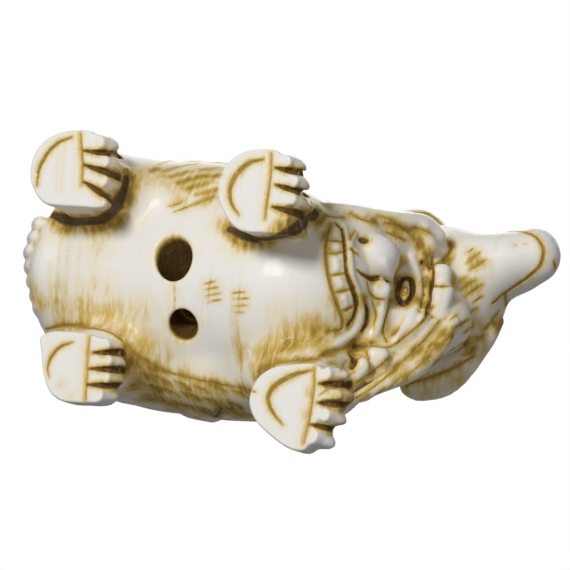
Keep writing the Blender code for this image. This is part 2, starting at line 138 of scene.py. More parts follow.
@dataclass(frozen=True)
class Sight:
    """The photograph's line of sight: the picture plane runs through the carving's origin.

    Middle is where the picture's middle lies on that plane, right and down, distance is how far off the eye
    is, and width is how much of the plane the picture spans.
    """

    right: Array = field(default_factory=lambda: np.array((0.8889, -0.1392, 0.4365)))
    down: Array = field(default_factory=lambda: np.array((0.0778, 0.9847, 0.1558)))
    back: Array = field(default_factory=lambda: np.array((0.4515, 0.1045, -0.8861)))
    middle: tuple[float, float] = (10.25, -0.1)
    distance: float = 0.5 / UNIT
    width: float = 57 * 0.975

    def eye(self) -> Array:
        """Where the camera stands, in units."""
        return self.right * self.middle[0] + self.down * self.middle[1] + self.back * self.distance

    def on_plane(self, picture: Array) -> Array:
        """The places of the picture's points on the picture plane.

        Args:
            picture: Points across and down the picture, one a row.

        Returns:
            Their places, one a row.
        """
        across, below = ((np.asarray(picture, float)[:, :2] / PICTURE_STEPS - 0.5) * self.width).T
        return (
            self.right * (self.middle[0] + across)[:, None]
            + self.down * (self.middle[1] + below)[:, None]
        )

    def at_height(self, picture: Rows) -> Array:
        """The places where the lines of sight of points in the picture reach given heights.

        Args:
            picture: Across, down, height and any further values, one point a row.

        Returns:
            The rows with their place in front of the further values.
        """
        rows = np.asarray(picture, float)
        eye = self.eye()
        ray = self.on_plane(rows) - eye
        places = eye + ray * ((rows[:, 2] - eye[2]) / ray[:, 2])[:, None]
        return np.hstack([places, rows[:, 3:]])

    def sunk(self, picture: Rows) -> Array:
        """Middles of masses whose skin is to reach given places: those are moved back by most of each size.

        Args:
            picture: Across, down, height of the skin and half sizes, one mass a row.

        Returns:
            Places and half sizes, one mass a row.
        """
        rows = self.at_height(picture)
        rows[:, :3] -= self.back * rows[:, 3:4] * 0.85
        return rows


SIGHT = Sight()


class Clay:
    """The block of clay: a grid of signed distances, below zero inside the figure.

    Ink_and_shade is how dark each grid point is, by dirt in the cuts, painted shade in the bores and painted
    shadow behind the paws, and tea_and_shade is how strong the staining and painted shadow round the cuts is.
    """

    def __init__(self, step: float) -> None:
        """Makes an empty block.

        Args:
            step: Distance between grid points, in units.
        """
        self.step = step
        self.low = np.array(CLAY_LOW)
        self.shape = tuple(np.ceil((np.array(CLAY_HIGH) - self.low) / step).astype(int) + 1)
        self.skin_depth = np.full(self.shape, FAR, np.float32)
        self.ink_and_shade = np.zeros(self.shape, np.float32)
        self.tea_and_shade = np.zeros(self.shape, np.float32)

    def window(self, low: Array, high: Array) -> tuple[tuple[slice, ...], list[Array]]:
        """The part of the grid between two corners.

        Args:
            low: Its lowest corner.
            high: Its highest corner.

        Returns:
            The slices of the part, and its coordinates along each axis, ready to broadcast.
        """
        top = np.array(self.shape)
        first = np.clip(np.floor((low - self.low) / self.step).astype(int), 0, top - 1)
        last = np.clip(np.ceil((high - self.low) / self.step).astype(int) + 1, 1, top)
        part = tuple(slice(int(a), int(b)) for a, b in zip(first, last))
        axes = []
        for axis, (a, b) in enumerate(zip(first, last)):
            line = (self.low[axis] + self.step * np.arange(a, b)).astype(np.float32)
            axes.append(line.reshape([-1 if k == axis else 1 for k in range(3)]))
        return part, axes

    def melt(self, part: tuple[slice, ...], shape: Array, blend: float) -> None:
        """Adds a shape: the smaller distance, less the square of what the two differ under blend.

        Args:
            part: The slices of the grid that the shape reaches.
            shape: Its signed distances there.
            blend: How far it melts into the clay.
        """
        old = self.skin_depth[part]
        near = np.clip(blend - np.abs(old - shape), 0, None)
        self.skin_depth[part] = np.minimum(old, shape) - near * near / (4 * blend)

    def carve(self, part: tuple[slice, ...], shape: Array, blend: float) -> None:
        """Takes a shape away: the larger of the distance and the shape's turned round.

        Args:
            part: The slices of the grid that the shape reaches.
            shape: Its signed distances there.
            blend: How far its mouth is rounded.
        """
        old = self.skin_depth[part]
        near = np.clip(blend - np.abs(old + shape), 0, None)
        self.skin_depth[part] = np.maximum(old, -shape) + near * near / (4 * blend)

    def local(
        self, middle: Array, axes: Array, reach: Array, margin: float
    ) -> tuple[tuple[slice, ...], list[Array]]:
        """Coordinates along turned axes in the window round a shape.

        Args:
            middle: The shape's middle.
            axes: Its axes, one a row.
            reach: Its half size along each.
            margin: How far the window runs past it.

        Returns:
            The window's slices and its three turned coordinates.
        """
        half = np.sqrt(((axes * np.asarray(reach)[:, None]) ** 2).sum(0)) + margin
        part, grid = self.window(middle - half, middle + half)
        off = [line - np.float32(m) for line, m in zip(grid, middle)]
        turned = [sum(np.float32(share) * line for share, line in zip(axis, off)) for axis in axes]
        return part, turned

    def lump(self, middle: Sequence[float], half: Sequence[float], axes: Array, blend: float) -> None:
        """Melts in an ellipsoid: with q the place over the half sizes, |q| (|q| - 1) / |q over them|.

        Args:
            middle: Its middle.
            half: Its half sizes.
            axes: Its axes, one a row.
            blend: How far it melts into the clay.
        """
        part, turned = self.local(np.asarray(middle, float), axes, np.asarray(half), blend + 1.0)
        once = np.sqrt(sum((line / np.float32(h)) ** 2 for line, h in zip(turned, half)))
        twice = np.sqrt(sum((line / np.float32(h * h)) ** 2 for line, h in zip(turned, half)))
        self.melt(part, once * (once - 1) / np.maximum(twice, np.float32(1e-4)), blend)

    def block(
        self, middle: Sequence[float], half: Sequence[float], axes: Array, rounding: float, blend: float
    ) -> None:
        """Melts in a box with rounded edges: the length of what sticks out past its inner box.

        Args:
            middle: Its middle.
            half: Its half sizes.
            axes: Its axes, one a row.
            rounding: Radius of its edges.
            blend: How far it melts into the clay.
        """
        part, turned = self.local(np.asarray(middle, float), axes, np.asarray(half), blend + 1.0)
        out = [np.abs(line) - np.float32(h - rounding) for line, h in zip(turned, half)]
        past = np.sqrt(sum(np.maximum(line, 0) ** 2 for line in out))
        within = np.minimum(np.maximum(np.maximum(out[0], out[1]), out[2]), 0)
        self.melt(part, past + within - np.float32(rounding), blend)

    def tube(self, path: Array, margin: float) -> tuple[tuple[slice, ...], Array, Array]:
        """Distances from a tapered tube along a path: to each straight piece, less its half width.

        Args:
            path: Places and half widths, one a row.
            margin: How far the window runs past it.

        Returns:
            The window's slices, the distance to the tube there, and the tube's half width nearby.
        """
        reach = path[:, 3].max() + margin
        part, _ = self.window((path[:, :3] - reach).min(0), (path[:, :3] + reach).max(0))
        size = [s.stop - s.start for s in part]
        gap = np.full(size, margin, np.float32)
        girth = np.full(size, path[0, 3], np.float32)
        for a, b in zip(path[:-1], path[1:]):
            wide = max(a[3], b[3]) + margin
            inner, grid = self.window(np.minimum(a, b)[:3] - wide, np.maximum(a, b)[:3] + wide)
            off = [line - np.float32(m) for line, m in zip(grid, a)]
            along = (b - a).astype(np.float32)
            length = max(float((along[:3] ** 2).sum()), 1e-9)
            t = np.clip(sum(o * s for o, s in zip(off, along)) / np.float32(length), 0, 1)
            away = np.sqrt(sum((o - t * s) ** 2 for o, s in zip(off, along)))
            radius = np.float32(a[3]) + t * along[3]
            spot = tuple(slice(i.start - p.start, i.stop - p.start) for i, p in zip(inner, part))
            closer = (away - radius) < gap[spot]
            gap[spot] = np.where(closer, away - radius, gap[spot])
            girth[spot] = np.where(closer, radius, girth[spot])
        return part, gap, girth

    def lock(self, rows: Rows, blend: float, steps: int = 4) -> None:
        """Melts in a tapered lock along a smooth curve.

        Args:
            rows: Places and half widths, one a row.
            blend: How far it melts into the clay.
            steps: How many points each piece of the curve gets.
        """
        part, gap, _ = self.tube(smooth_path(rows, steps), blend + 0.6)
        self.melt(part, gap, blend)

    def prism(self, outline: Array, low: float, high: float, rounding: float, blend: float) -> None:
        """Melts in an upright slab with that outline: the distance to a polygon, carried upwards.

        Args:
            outline: The outline's points on the ground, one a row.
            low: Height of its lower face.
            high: Height of its upper face.
            rounding: Radius of its edges.
            blend: How far it melts into the clay.
        """
        margin = blend + 1.0
        floor = np.append(outline.min(0) - margin, low - margin)
        part, (x, y, z) = self.window(floor, np.append(outline.max(0) + margin, high + margin))
        x, y = x[:, :, 0], y[:, :, 0]
        nearest = np.full((x.shape[0], y.shape[1]), 1e6, np.float32)
        inside = np.zeros(nearest.shape, bool)
        for a, b in zip(outline, np.roll(outline, -1, axis=0)):
            side = b - a
            t = np.clip(((x - a[0]) * side[0] + (y - a[1]) * side[1]) / max(side @ side, 1e-9), 0, 1)
            away = (x - a[0] - t * side[0]) ** 2 + (y - a[1] - t * side[1]) ** 2
            nearest = np.minimum(nearest, away)
            if side[1]:
                crosses = ((a[1] > y) != (b[1] > y)) & (x < a[0] + (y - a[1]) * side[0] / side[1])
                inside ^= crosses
        flat = (np.sqrt(nearest) * np.where(inside, -1, 1) + rounding - 0.2)[:, :, None].astype(np.float32)
        tall = np.abs(z - (low + high) / 2) - (high - low) / 2 + rounding
        past = np.sqrt(np.maximum(flat, 0) ** 2 + np.maximum(tall, 0) ** 2)
        self.melt(part, past + np.minimum(np.maximum(flat, tall), 0) - rounding, blend)

    def drill(self, rows: Rows, mouth: float) -> None:
        """Takes a round bore away, worn at its mouth and with painted shade inside.

        Args:
            rows: Places and half widths, one a row.
            mouth: How far its mouth is rounded.
        """
        part, gap, _ = self.tube(np.asarray(rows, float), mouth + 0.9)
        # Painted shade inside the bore, darker the deeper it reaches into the clay.
        depth = np.clip((0.1 - self.skin_depth[part]) / 0.8, 0, 1)
        self.ink_and_shade[part] = np.maximum(self.ink_and_shade[part], depth * np.clip(1 - gap / 0.3, 0, 1))
        self.tea_and_shade[part] = np.maximum(self.tea_and_shade[part], np.clip(0.8 - gap / 0.6, 0, 1))
        self.carve(part, gap, mouth)

    def flatten(self, height: float) -> None:
        """Takes away all that is under a height.

        Args:
            height: The height.
        """
        part, (_, _, z) = self.window(self.low, np.array((*CLAY_HIGH[:2], height + 2.0)))
        self.skin_depth[part] = np.maximum(self.skin_depth[part], height - z)

    def engrave(self, path: Array, steepness: float, ink_and_shade: float, edge: float = 0.6) -> None:
        """Cuts a V along a path on the skin: its depth is steepness times what is left of its half width.

        Args:
            path: Places and half widths, one a row.
            steepness: Depth over half width.
            ink_and_shade: How dark the colouring in the cut is; it is dirt in most cuts and painted shadow in
                the shade cuts.
            edge: Over what share of the half width that colouring fades.
        """
        part, gap, girth = self.tube(path, 1.3)
        self.skin_depth[part] += np.float32(steepness) * np.clip(-gap, 0, None)
        soft = np.clip((0.14 - gap) / np.maximum(edge * girth + 0.14, 1e-3), 0, 1)
        self.ink_and_shade[part] = np.maximum(self.ink_and_shade[part], np.float32(ink_and_shade) * soft)
        # The halo round the cut: ochre staining round most cuts, painted shadow round the shade cuts.
        halo = np.exp(-((np.clip(gap, 0, None) / (0.26 + 0.6 * girth)) ** 2)) * (gap < 1.25)
        self.tea_and_shade[part] = np.maximum(self.tea_and_shade[part], np.float32(ink_and_shade) * halo.astype(np.float32))

    def raise_ridge(self, path: Array, height: float) -> None:
        """Raises a round ridge along a path on the skin: height times the square of 1 - distance squared.

        Args:
            path: Places and half widths, one a row.
            height: Its height where it is widest.
        """
        part, gap, girth = self.tube(path, 0.3)
        share = np.clip(1 - ((gap + girth) / np.maximum(girth, 1e-3)) ** 2, 0, 1)
        widest = np.float32(path[:, 3].max())
        self.skin_depth[part] -= np.float32(height) * share * share * (girth / widest)

    def sample(self, values: Array, places: Array) -> Array:
        """Values of a grid at places between its points, by the shares of the eight nearest.

        Args:
            values: The grid's values.
            places: Places, one a row.

        Returns:
            One value a place.
        """
        spot = (places - self.low) / self.step
        base = np.clip(np.floor(spot).astype(int), 0, np.array(values.shape) - 2)
        share = np.clip(spot - base, 0, 1)
        total = np.zeros(len(places))
        for corner in np.ndindex(2, 2, 2):
            weight = np.prod(np.where(corner, share, 1 - share), axis=1)
            total += weight * values[tuple((base + corner).T)]
        return total

    def slope(self, places: Array) -> Array:
        """Which way is out of the clay: the slope of the distances over one grid step each way.

        Args:
            places: Places, one a row.

        Returns:
            Vectors of length one, one a place.
        """
        step = self.step
        ways = np.eye(3) * step
        ahead, behind = (
            np.stack([self.sample(self.skin_depth, places + side * way) for way in ways], axis=1)
            for side in (1, -1)
        )
        lean = ahead - behind
        return lean / np.maximum(np.linalg.norm(lean, axis=1, keepdims=True), 1e-6)

    def laid(self, rows: Rows) -> Array:
        """Rows moved out or in to the skin, in a few steps along its slope.

        Args:
            rows: Places and any further values, one a row.

        Returns:
            The rows with their places on the skin.
        """
        path = np.array(rows, float)
        for _ in range(LAYING_STEPS):
            depth = self.sample(self.skin_depth, path[:, :3])
            path[:, :3] -= self.slope(path[:, :3]) * depth[:, None]
        return path

    def seen(self, picture: Rows) -> Array:
        """The places on the skin that the picture shows at those points.

        Each line of sight is walked in even steps, and the skin is where the distance first falls
        under zero, or where it is least on a line that misses.

        Args:
            picture: Across, down and any further values, one point a row.

        Returns:
            The rows with their place in front of the further values.
        """
        rows = np.asarray(picture, float)
        eye = SIGHT.eye()
        ray = SIGHT.on_plane(rows) - eye
        ray /= np.linalg.norm(ray, axis=1, keepdims=True)
        found = self.met(eye + ray * (SIGHT.distance - SIGHT_NEAR), ray, SIGHT_REACH)
        return np.hstack([found, rows[:, 2:]])

    def met(self, starts: Array, ways: Array, reach: float) -> Array:
        """The places where straight lines first meet the skin, or pass it closest.

        Args:
            starts: Where each line starts.
            ways: Its direction, of length one.
            reach: How far it runs.

        Returns:
            One place a line.
        """
        walked = np.arange(0.0, reach, WALK_STEP)
        line = starts[:, None, :] + ways[:, None, :] * walked[None, :, None]
        depth = self.sample(self.skin_depth, line.reshape(-1, 3)).reshape(len(starts), -1)
        hit = (depth < 0).argmax(axis=1)
        hit = np.where((depth < 0).any(axis=1), hit, depth.argmin(axis=1))
        return self.laid(line[np.arange(len(starts)), hit])

    def crowding(self, radius: float) -> Array:
        """How much clay lies within about that radius of each grid point: a box average, run twice.

        Args:
            radius: The radius in units.

        Returns:
            Shares from 0 to 1 on the grid, near a half on an even skin.
        """
        clay = np.clip(0.5 - self.skin_depth / self.step, 0, 1).astype(np.float32)
        width = max(int(round(radius / self.step)), 1)
        for _ in range(2):
            for axis in range(3):
                pad = [(width + 1, width) if k == axis else (0, 0) for k in range(3)]
                run = np.cumsum(np.pad(clay, pad, mode="edge"), axis=axis, dtype=np.float32)
                count = run.shape[axis]
                upper = np.take(run, np.arange(2 * width + 1, count), axis=axis)
                lower = np.take(run, np.arange(0, count - 2 * width - 1), axis=axis)
                clay = (upper - lower) / (2 * width + 1)
        return clay

    def skin(self) -> tuple[Array, Array]:
        """Reads the skin off the grid.

        Each cell that the skin crosses gets one point, the mean of where the skin meets its twelve
        edges, and each grid edge that it crosses gets one face between the four cells round it.

        Returns:
            The points, and the faces as rows of four point numbers.
        """
        inside = self.skin_depth < 0
        every, some = inside, inside
        for axis in range(3):
            front = tuple(slice(1, None) if k == axis else slice(None) for k in range(3))
            behind = tuple(slice(None, -1) if k == axis else slice(None) for k in range(3))
            every, some = every[front] & every[behind], some[front] | some[behind]
        cells = np.argwhere(some & ~every)
        number = np.full(some.shape, -1, np.int32)
        number[tuple(cells.T)] = np.arange(len(cells))
        corners = {c: self.skin_depth[tuple((cells + c).T)] for c in np.ndindex(2, 2, 2)}
        total = np.zeros((len(cells), 3))
        met = np.zeros(len(cells))
        for start, a in corners.items():
            for axis in range(3):
                if start[axis]:
                    continue
                b = corners[tuple(v + (k == axis) for k, v in enumerate(start))]
                crosses = (a < 0) != (b < 0)
                t = np.where(crosses, a / np.where(crosses, a - b, 1), 0)
                place = np.tile(np.array(start, float), (len(cells), 1))
                place[:, axis] += t
                total += place * crosses[:, None]
                met += crosses
        points = self.low + self.step * (cells + total / met[:, None])
        faces = []
        for axis in range(3):
            first, second = (axis + 1) % 3, (axis + 2) % 3
            front = tuple(slice(1, None) if k == axis else slice(1, -1) for k in range(3))
            behind = tuple(slice(None, -1) if k == axis else slice(1, -1) for k in range(3))
            change = inside[front] != inside[behind]
            spots = np.argwhere(change)
            spots += [0 if k == axis else 1 for k in range(3)]
            solid = inside[tuple(spots.T)]
            ring = []
            for u, v in ((1, 1), (0, 1), (0, 0), (1, 0)):
                move = np.zeros(3, int)
                move[first], move[second] = u, v
                ring.append(number[tuple((spots - move).T)])
            quad = np.stack(ring, axis=1)
            faces.append(np.where(solid[:, None], quad, quad[:, ::-1]))
        return points, np.concatenate(faces)


class Cut(Enum):
    """The burin's kinds of cut: depth over half width, how dark its colouring is, and how soft that
    colouring's edge. The shade cut is a shallow groove whose dark colouring is painted shadow; the grain
    cut's is grain, the others' is dirt.
    """

    FINE = (1.1, 0.5, 0.6)
    STROKE = (1.1, 0.72, 0.6)
    FOLD = (1.6, 0.8, 0.6)
    DEEP = (2.1, 1.0, 0.25)
    # Painted shadow: a shallow groove filled with near-black colour where the paws' shadow falls on the
    # belly.
    SHADE = (0.15, 0.97, 0.4)
    GRAIN = (0.3, 0.3, 0.6)


def draw(clay: Clay, rows: Rows, cut: Cut, closed: bool = False) -> None:
    """Engraves one line that the picture shows, given in picture steps.

    Args:
        clay: The clay.
        rows: Across, down and half width, one point a row.
        cut: The kind of cut.
        closed: Whether it closes on itself.
    """
    path = smooth_path(rows, 5, closed)
    path[:, 2] = path[:, 2] * SIGHT.width / PICTURE_STEPS
    clay.engrave(clay.seen(path), *cut.value)


def swell(clay: Clay, rows: Rows, height: float) -> None:
    """Raises a ridge along one line that the picture shows, given in picture steps.

    Args:
        clay: The clay.
        rows: Across, down and half width, one point a row.
        height: The ridge's height in units.
    """
    path = smooth_path(rows, 5)
    path[:, 2] = path[:, 2] * SIGHT.width / PICTURE_STEPS
    clay.raise_ridge(clay.seen(path), height)


def stroke(start: Sequence[float], end: Sequence[float], width: float) -> list[list[float]]:
    """A short stroke of the burin, thin at both ends and widest past its middle.

    Args:
        start: Its first point.
        end: Its last point.
        width: Its largest half width.

    Returns:
        Four rows of place and half width.
    """
    a, b = np.asarray(start, float), np.asarray(end, float)
    return [[*(a + (b - a) * t), width * w] for t, w in ((0, 0.25), (0.35, 0.85), (0.7, 1.0), (1, 0.3))]


def oval(
    middle: Sequence[float], half: Sequence[float], width: float, lean: float = 0.0
) -> list[list[float]]:
    """Eight rows round an oval in the picture: middle plus half times the cosine and sine, leaned.

    Args:
        middle: Its middle.
        half: Its half sizes across and down.
        width: Half width of the line.
        lean: Degrees by which it leans.

    Returns:
        Rows of across, down and half width.
    """
    turns = np.arange(8) * math.tau / 8
    x, y = half[0] * np.cos(turns), half[1] * np.sin(turns)
    a = math.radians(lean)
    across = middle[0] + x * math.cos(a) - y * math.sin(a)
    below = middle[1] + x * math.sin(a) + y * math.cos(a)
    return [[u, v, width] for u, v in zip(across, below)]


@dataclass(frozen=True)
class HeadFrame:
    """A head's own frame: where its neck stands, and how far it is turned."""

    place: tuple[float, float]
    turn: float = -20.0

    def out(self, rows: Rows) -> Array:
        """Rows given in the head's frame, moved to the carving's.

        Args:
            rows: Places and any further values, one a row.

        Returns:
            The rows with their places in the carving's frame.
        """
        given = np.array(rows, float)
        axes = turned_axes(self.turn)
        level = given[:, 0:1] * axes[0, :2] + given[:, 1:2] * axes[1, :2] + np.array(self.place)
        return np.hstack([level, given[:, 2:]])


LION_FRAME = HeadFrame((6.0, -3.0))
PUP_FRAME = HeadFrame((14.0, -5.0))


@dataclass
class Trunk:
    """The lion-dog's body: barrel, haunches, shoulders and legs.

    Each row is a mass's middle, its half sizes and its turn in degrees.
    """

    barrel: Rows = (
        (-6.5, -1.7, 15.6, 15.6, 12.7, 9.4, 0),
        (-4.5, -1.6, 12.6, 17.0, 9.8, 7.4, 0),
        (-13.8, -1.4, 14.2, 8.6, 10.6, 8.6, 0),
        (4.6, -2.0, 12.6, 9.6, 9.6, 7.3, -10),
        (3.4, 0.4, 18.0, 8.6, 10.4, 7.4, 0),
    )
    joints: Rows = (
        (-10.2, 6.4, 12.6, 6.2, 3.6, 6.6, 0),
        (-1.0, 7.6, 14.0, 5.0, 3.4, 6.0, 0),
        (-12.4, -9.7, 12.6, 8.6, 4.2, 7.0, 0),
        (-2.4, -10.6, 15.0, 8.0, 3.4, 6.0, 0),
        (8.2, 6.6, 13.0, 6.0, 4.4, 6.6, 0),
        (2.8, -8.4, 13.0, 5.0, 3.2, 6.6, 0),
    )
    melt: float = 2.2

    def model(self, clay: Clay) -> None:
        """Melts the masses together.

        Args:
            clay: The clay.
        """
        for x, y, z, a, b, c, turn in (*self.barrel, *self.joints):
            clay.lump((x, y, z), (a, b, c), turned_axes(turn), self.melt)


@dataclass
class Paw:
    """One paw: its sole as the picture shows it, its four toes and the leg above it.

    Sole, toes, gaps, heel and step are in picture steps on the ground: a toe runs from its root to its tip,
    with a half width, and a gap from the sole's step to the tips. The hip is the leg's top and half width.
    The wall behind the toes starts at the toe of that number, counted from 0.
    """

    name: str
    sole: Rows
    toes: Rows
    gaps: Rows
    heel: Rows
    step: Rows
    hip: tuple[float, float, float, float]
    wall: float = 2.6
    wall_starts: int = 1
    toe_height: float = 2.0
    web_height: float = 0.75
    toe_inset: float = 0.6
    ankle_height: float = 2.6
    pad_dip: float = 0.32
    pad_rounding: float = 0.75

    def model(self, clay: Clay) -> None:
        """Melts leg, pad and toes into the clay.

        Args:
            clay: The clay.
        """
        outline = smooth_path([(x, y, 0.0) for x, y in self.sole], 4, closed=True)
        ground = SIGHT.at_height(outline)[:-1, :2]
        middle = ground.mean(axis=0)
        top = np.array(self.hip[:3])
        ankle = np.array((*middle, self.ankle_height))
        knee = (top + ankle) / 2
        width = self.hip[3]
        clay.lock([(*top, width), (*knee, width * 0.86), (*ankle, width * 0.66)], 1.6)
        clay.prism(ground, -self.pad_dip, self.wall, self.pad_rounding, 0.9)
        tips, sides = [], []
        for x0, y0, x1, y1, half in self.toes:
            ends = SIGHT.at_height([(x0, y0, 0.0), (x1, y1, 0.0)])[:, :2]
            radius = half * SIGHT.width / PICTURE_STEPS
            along = ends[1] - ends[0]
            along /= np.linalg.norm(along)
            ends[1] -= along * self.toe_inset
            reach = np.linalg.norm(ends[1] - ends[0]) / 2
            axes = np.array(((*along, 0.0), (-along[1], along[0], 0.0), (0.0, 0.0, 1.0)))
            centre = (*ends.mean(axis=0), self.toe_height / 2 - 0.13)
            half_sizes = (reach, radius * 1.04, self.toe_height / 2 + 0.13)
            clay.block(centre, half_sizes, axes, radius * 0.95, 0.45)
            knuckle = ends[0] + (ends[1] - ends[0]) * 0.5
            clay.lump((*knuckle, self.toe_height), (1.4, radius * 1.05, 1.1), axes, 0.7)
            tips.append(ends[1] - along * radius * 0.5)
            sides.append(ends[0])
        web = np.array([*sides[::-1], *tips])
        clay.prism(web, self.web_height, self.toe_height, 0.5, 0.6)
        first = self.wall_starts
        inner = np.array([*sides[: first - 1 : -1], *tips[first:]])
        clay.prism(inner, self.web_height, self.wall, 0.5, 0.8)

    def cut(self, clay: Clay) -> None:
        """Cuts the gaps between the toes, the arc round the heel and the line across the sole.

        Args:
            clay: The clay.
        """
        for x0, y0, x1, y1, half in self.gaps:
            rows = [(x0, y0, 1.1), ((x0 + x1) / 2, (y0 + y1) / 2, half * 0.9), (x1, y1, half * 1.25)]
            draw(clay, rows, Cut.DEEP)
        draw(clay, self.heel, Cut.FOLD)
        draw(clay, self.step, Cut.FOLD)
        # A soft ochre band beside the line across the sole, drawn as a grain cut.
        draw(clay, [(across - 2.6, down, 3.6) for across, down, _ in self.step], Cut.GRAIN)


PAWS = (
    Paw(
        "rear_right",
        sole=(
            (31, 176), (35, 155), (47, 140), (64, 132.5), (82, 131.5), (92, 134), (96, 150),
            (97, 170), (100, 190), (103, 205), (80, 205), (60, 204), (46, 202), (37, 193),
        ),
        toes=(
            (88, 142, 110, 142.5, 8.4), (88, 160, 114, 162.5, 6.3), (88, 176, 112, 183, 6.2),
            (86, 195, 103, 202, 6.8),
        ),
        gaps=((84, 150.5, 120, 155.5, 3.6), (84, 164.5, 120, 177.5, 3.8), (84, 181.5, 112, 200, 3.8)),
        heel=(
            (72, 137, 1.2), (58, 143, 2.0), (47, 154, 2.2), (39, 170, 2.0), (37, 186, 1.0),
        ),
        step=((81, 133, 0.9), (82, 150, 1.2), (83, 166, 1.2), (82, 186, 0.8)),
        hip=(-13.0, -8.6, 11.0, 4.9),
        wall=4.8,
    ),
    Paw(
        "rear_left",
        sole=(
            (42, 350), (41, 338), (50, 333), (68, 333), (90, 336), (100, 345), (101, 365),
            (100, 385), (99, 399), (80, 401), (62, 399), (50, 390), (44, 372),
        ),
        toes=(
            (92, 344.5, 115, 345.5, 7.0), (93, 360, 117, 361, 6.8), (91, 377, 115, 377.5, 6.2),
            (89, 393, 107, 394, 6.8),
        ),
        gaps=((93, 352.5, 124, 352.5, 3.6), (90, 368.5, 124, 370, 3.6), (87, 384.5, 120, 386, 3.4)),
        heel=(
            (73, 342, 1.0), (60, 347, 1.9), (52, 356, 1.9), (48, 366, 1.3), (49, 377, 0.6),
        ),
        step=((90, 336, 0.7), (88, 360, 0.9), (87, 380, 0.9), (86, 400, 0.7)),
        hip=(-10.6, 6.2, 11.0, 4.4),
    ),
    Paw(
        "front_right",
        sole=(
            (219, 196), (221, 176), (231, 161), (247, 152), (264, 150.5), (277, 152.5), (283, 165),
            (284, 185), (284, 205), (285, 222), (286, 232), (262, 231), (242, 229), (229, 219),
        ),
        toes=(
            (278, 159.5, 296, 165, 7.4), (278, 177, 303, 184, 6.2), (278, 195, 301, 201.5, 6.2),
            (277, 216, 291, 225, 7.2),
        ),
        gaps=((275, 167.5, 303, 173.5, 3.6), (275, 184.5, 306, 194, 3.6), (272, 206.5, 303, 215, 3.8)),
        heel=(
            (264, 159, 1.2), (249, 163, 2.6), (237, 174, 3.0), (230, 188, 2.6), (231, 202, 2.0),
            (239, 215, 0.9),
        ),
        step=((272, 153, 0.9), (271, 175, 1.2), (268, 198, 1.2), (265.5, 219, 0.8)),
        hip=(4.6, -7.4, 11.0, 4.1),
        wall=4.8,
        wall_starts=2,
    ),
    Paw(
        "front_left",
        sole=(
            (250, 401), (256, 382), (270, 370), (290, 366), (312, 365), (321, 372), (322, 390),
            (318, 410), (313, 428), (304, 448), (288, 446), (271, 434), (256, 419),
        ),
        toes=(
            (322, 373.5, 337, 373, 7.2), (322, 394, 347, 394.5, 4.9), (319, 413, 335, 418, 7.0),
            (309, 435, 323, 441, 8.0),
        ),
        gaps=((319, 383.5, 350, 385, 4.0), (317, 402.5, 346, 405, 3.4), (311, 424.5, 342, 431, 3.4)),
        heel=(
            (312, 370, 1.2), (294, 375, 2.6), (277, 384, 3.0), (268, 397, 2.6), (272, 411, 2.0),
            (283, 425, 0.9),
        ),
        step=((315, 367, 0.9), (314, 390, 1.2), (309, 420, 1.2), (304, 444, 0.8)),
        hip=(10.4, 6.7, 11.0, 4.1),
    ),
)


@dataclass
class LionHead:
    """The lion-dog's head: skull, jaws, nose, eyes, forelocks and mane.

    Masses are middles and half sizes in the head's own frame. Nose and lobes are across, down and height,
    then half sizes.
    """

    masses: Rows = (
        (0.0, 0.0, 17.8, 8.0, 8.0, 7.4),
        (-1.2, 0.0, 12.5, 6.8, 7.4, 5.4),
        (1.0, 0.0, 14.8, 6.2, 7.0, 3.2),
    )
    nose: tuple[float, ...] = (371.0, 259.0, 15.0, 2.9, 2.5, 2.6)
    lobes: Rows = (
        (360.0, 287.0, 13.6, 1.3, 1.2, 1.2),
        (377.0, 291.0, 14.6, 1.3, 1.2, 1.2),
        (355.0, 243.0, 14.0, 1.5, 1.3, 1.3),
    )

    def model(self, clay: Clay) -> None:
        """Melts skull, jaws, nose and mane into the clay.

        Args:
            clay: The clay.
        """
        axes = turned_axes(LION_FRAME.turn)
        for row in self.masses:
            place = LION_FRAME.out([row[:3]])[0]
            clay.lump(place, row[3:], axes, 1.6)
        for row in SIGHT.sunk(FACE_MASSES):
            clay.lump(row[:3], row[3:], axes, 1.2)
        for x, y, z, a, b, c in (self.nose, *self.lobes):
            clay.lump(SIGHT.at_height([(x, y, z)])[0], (a, b, c), axes, 0.5)
        for rows, melt in LION_LOCKS:
            clay.lock(SIGHT.at_height(rows), melt)
        for rows in HIDDEN_LOCKS:
            clay.lock(LION_FRAME.out(rows), 0.5)
        view = np.array((SIGHT.right, SIGHT.down, SIGHT.back))
        for x, y, z, a, b, c, lean in FORELOCKS:
            angle = math.radians(lean)
            turn = np.array(
                ((math.cos(angle), math.sin(angle), 0), (-math.sin(angle), math.cos(angle), 0), (0, 0, 1))
            )
            rounding = 0.85 * min(a, b)
            clay.block(SIGHT.at_height([(x, y, z)])[0], (a * 1.06, b * 1.06, c), turn @ view, rounding, 0.4)

    def cut(self, clay: Clay) -> None:
        """Raises lips, lids and brows, then cuts mouth, teeth, nostrils, eyes and hair.

        Args:
            clay: The clay.
        """
        for rows, height in FACE_RIDGES:
            swell(clay, rows, height)
        for rows, cut in FACE_CUTS:
            draw(clay, rows, cut)
        for middle, half, width, lean, cut in FACE_RINGS:
            draw(clay, oval(middle, half, width, lean), cut, closed=True)
        for x0, y0, x1, y1, width in FACE_TICKS:
            draw(clay, stroke((x0, y0), (x1, y1), width), Cut.STROKE)


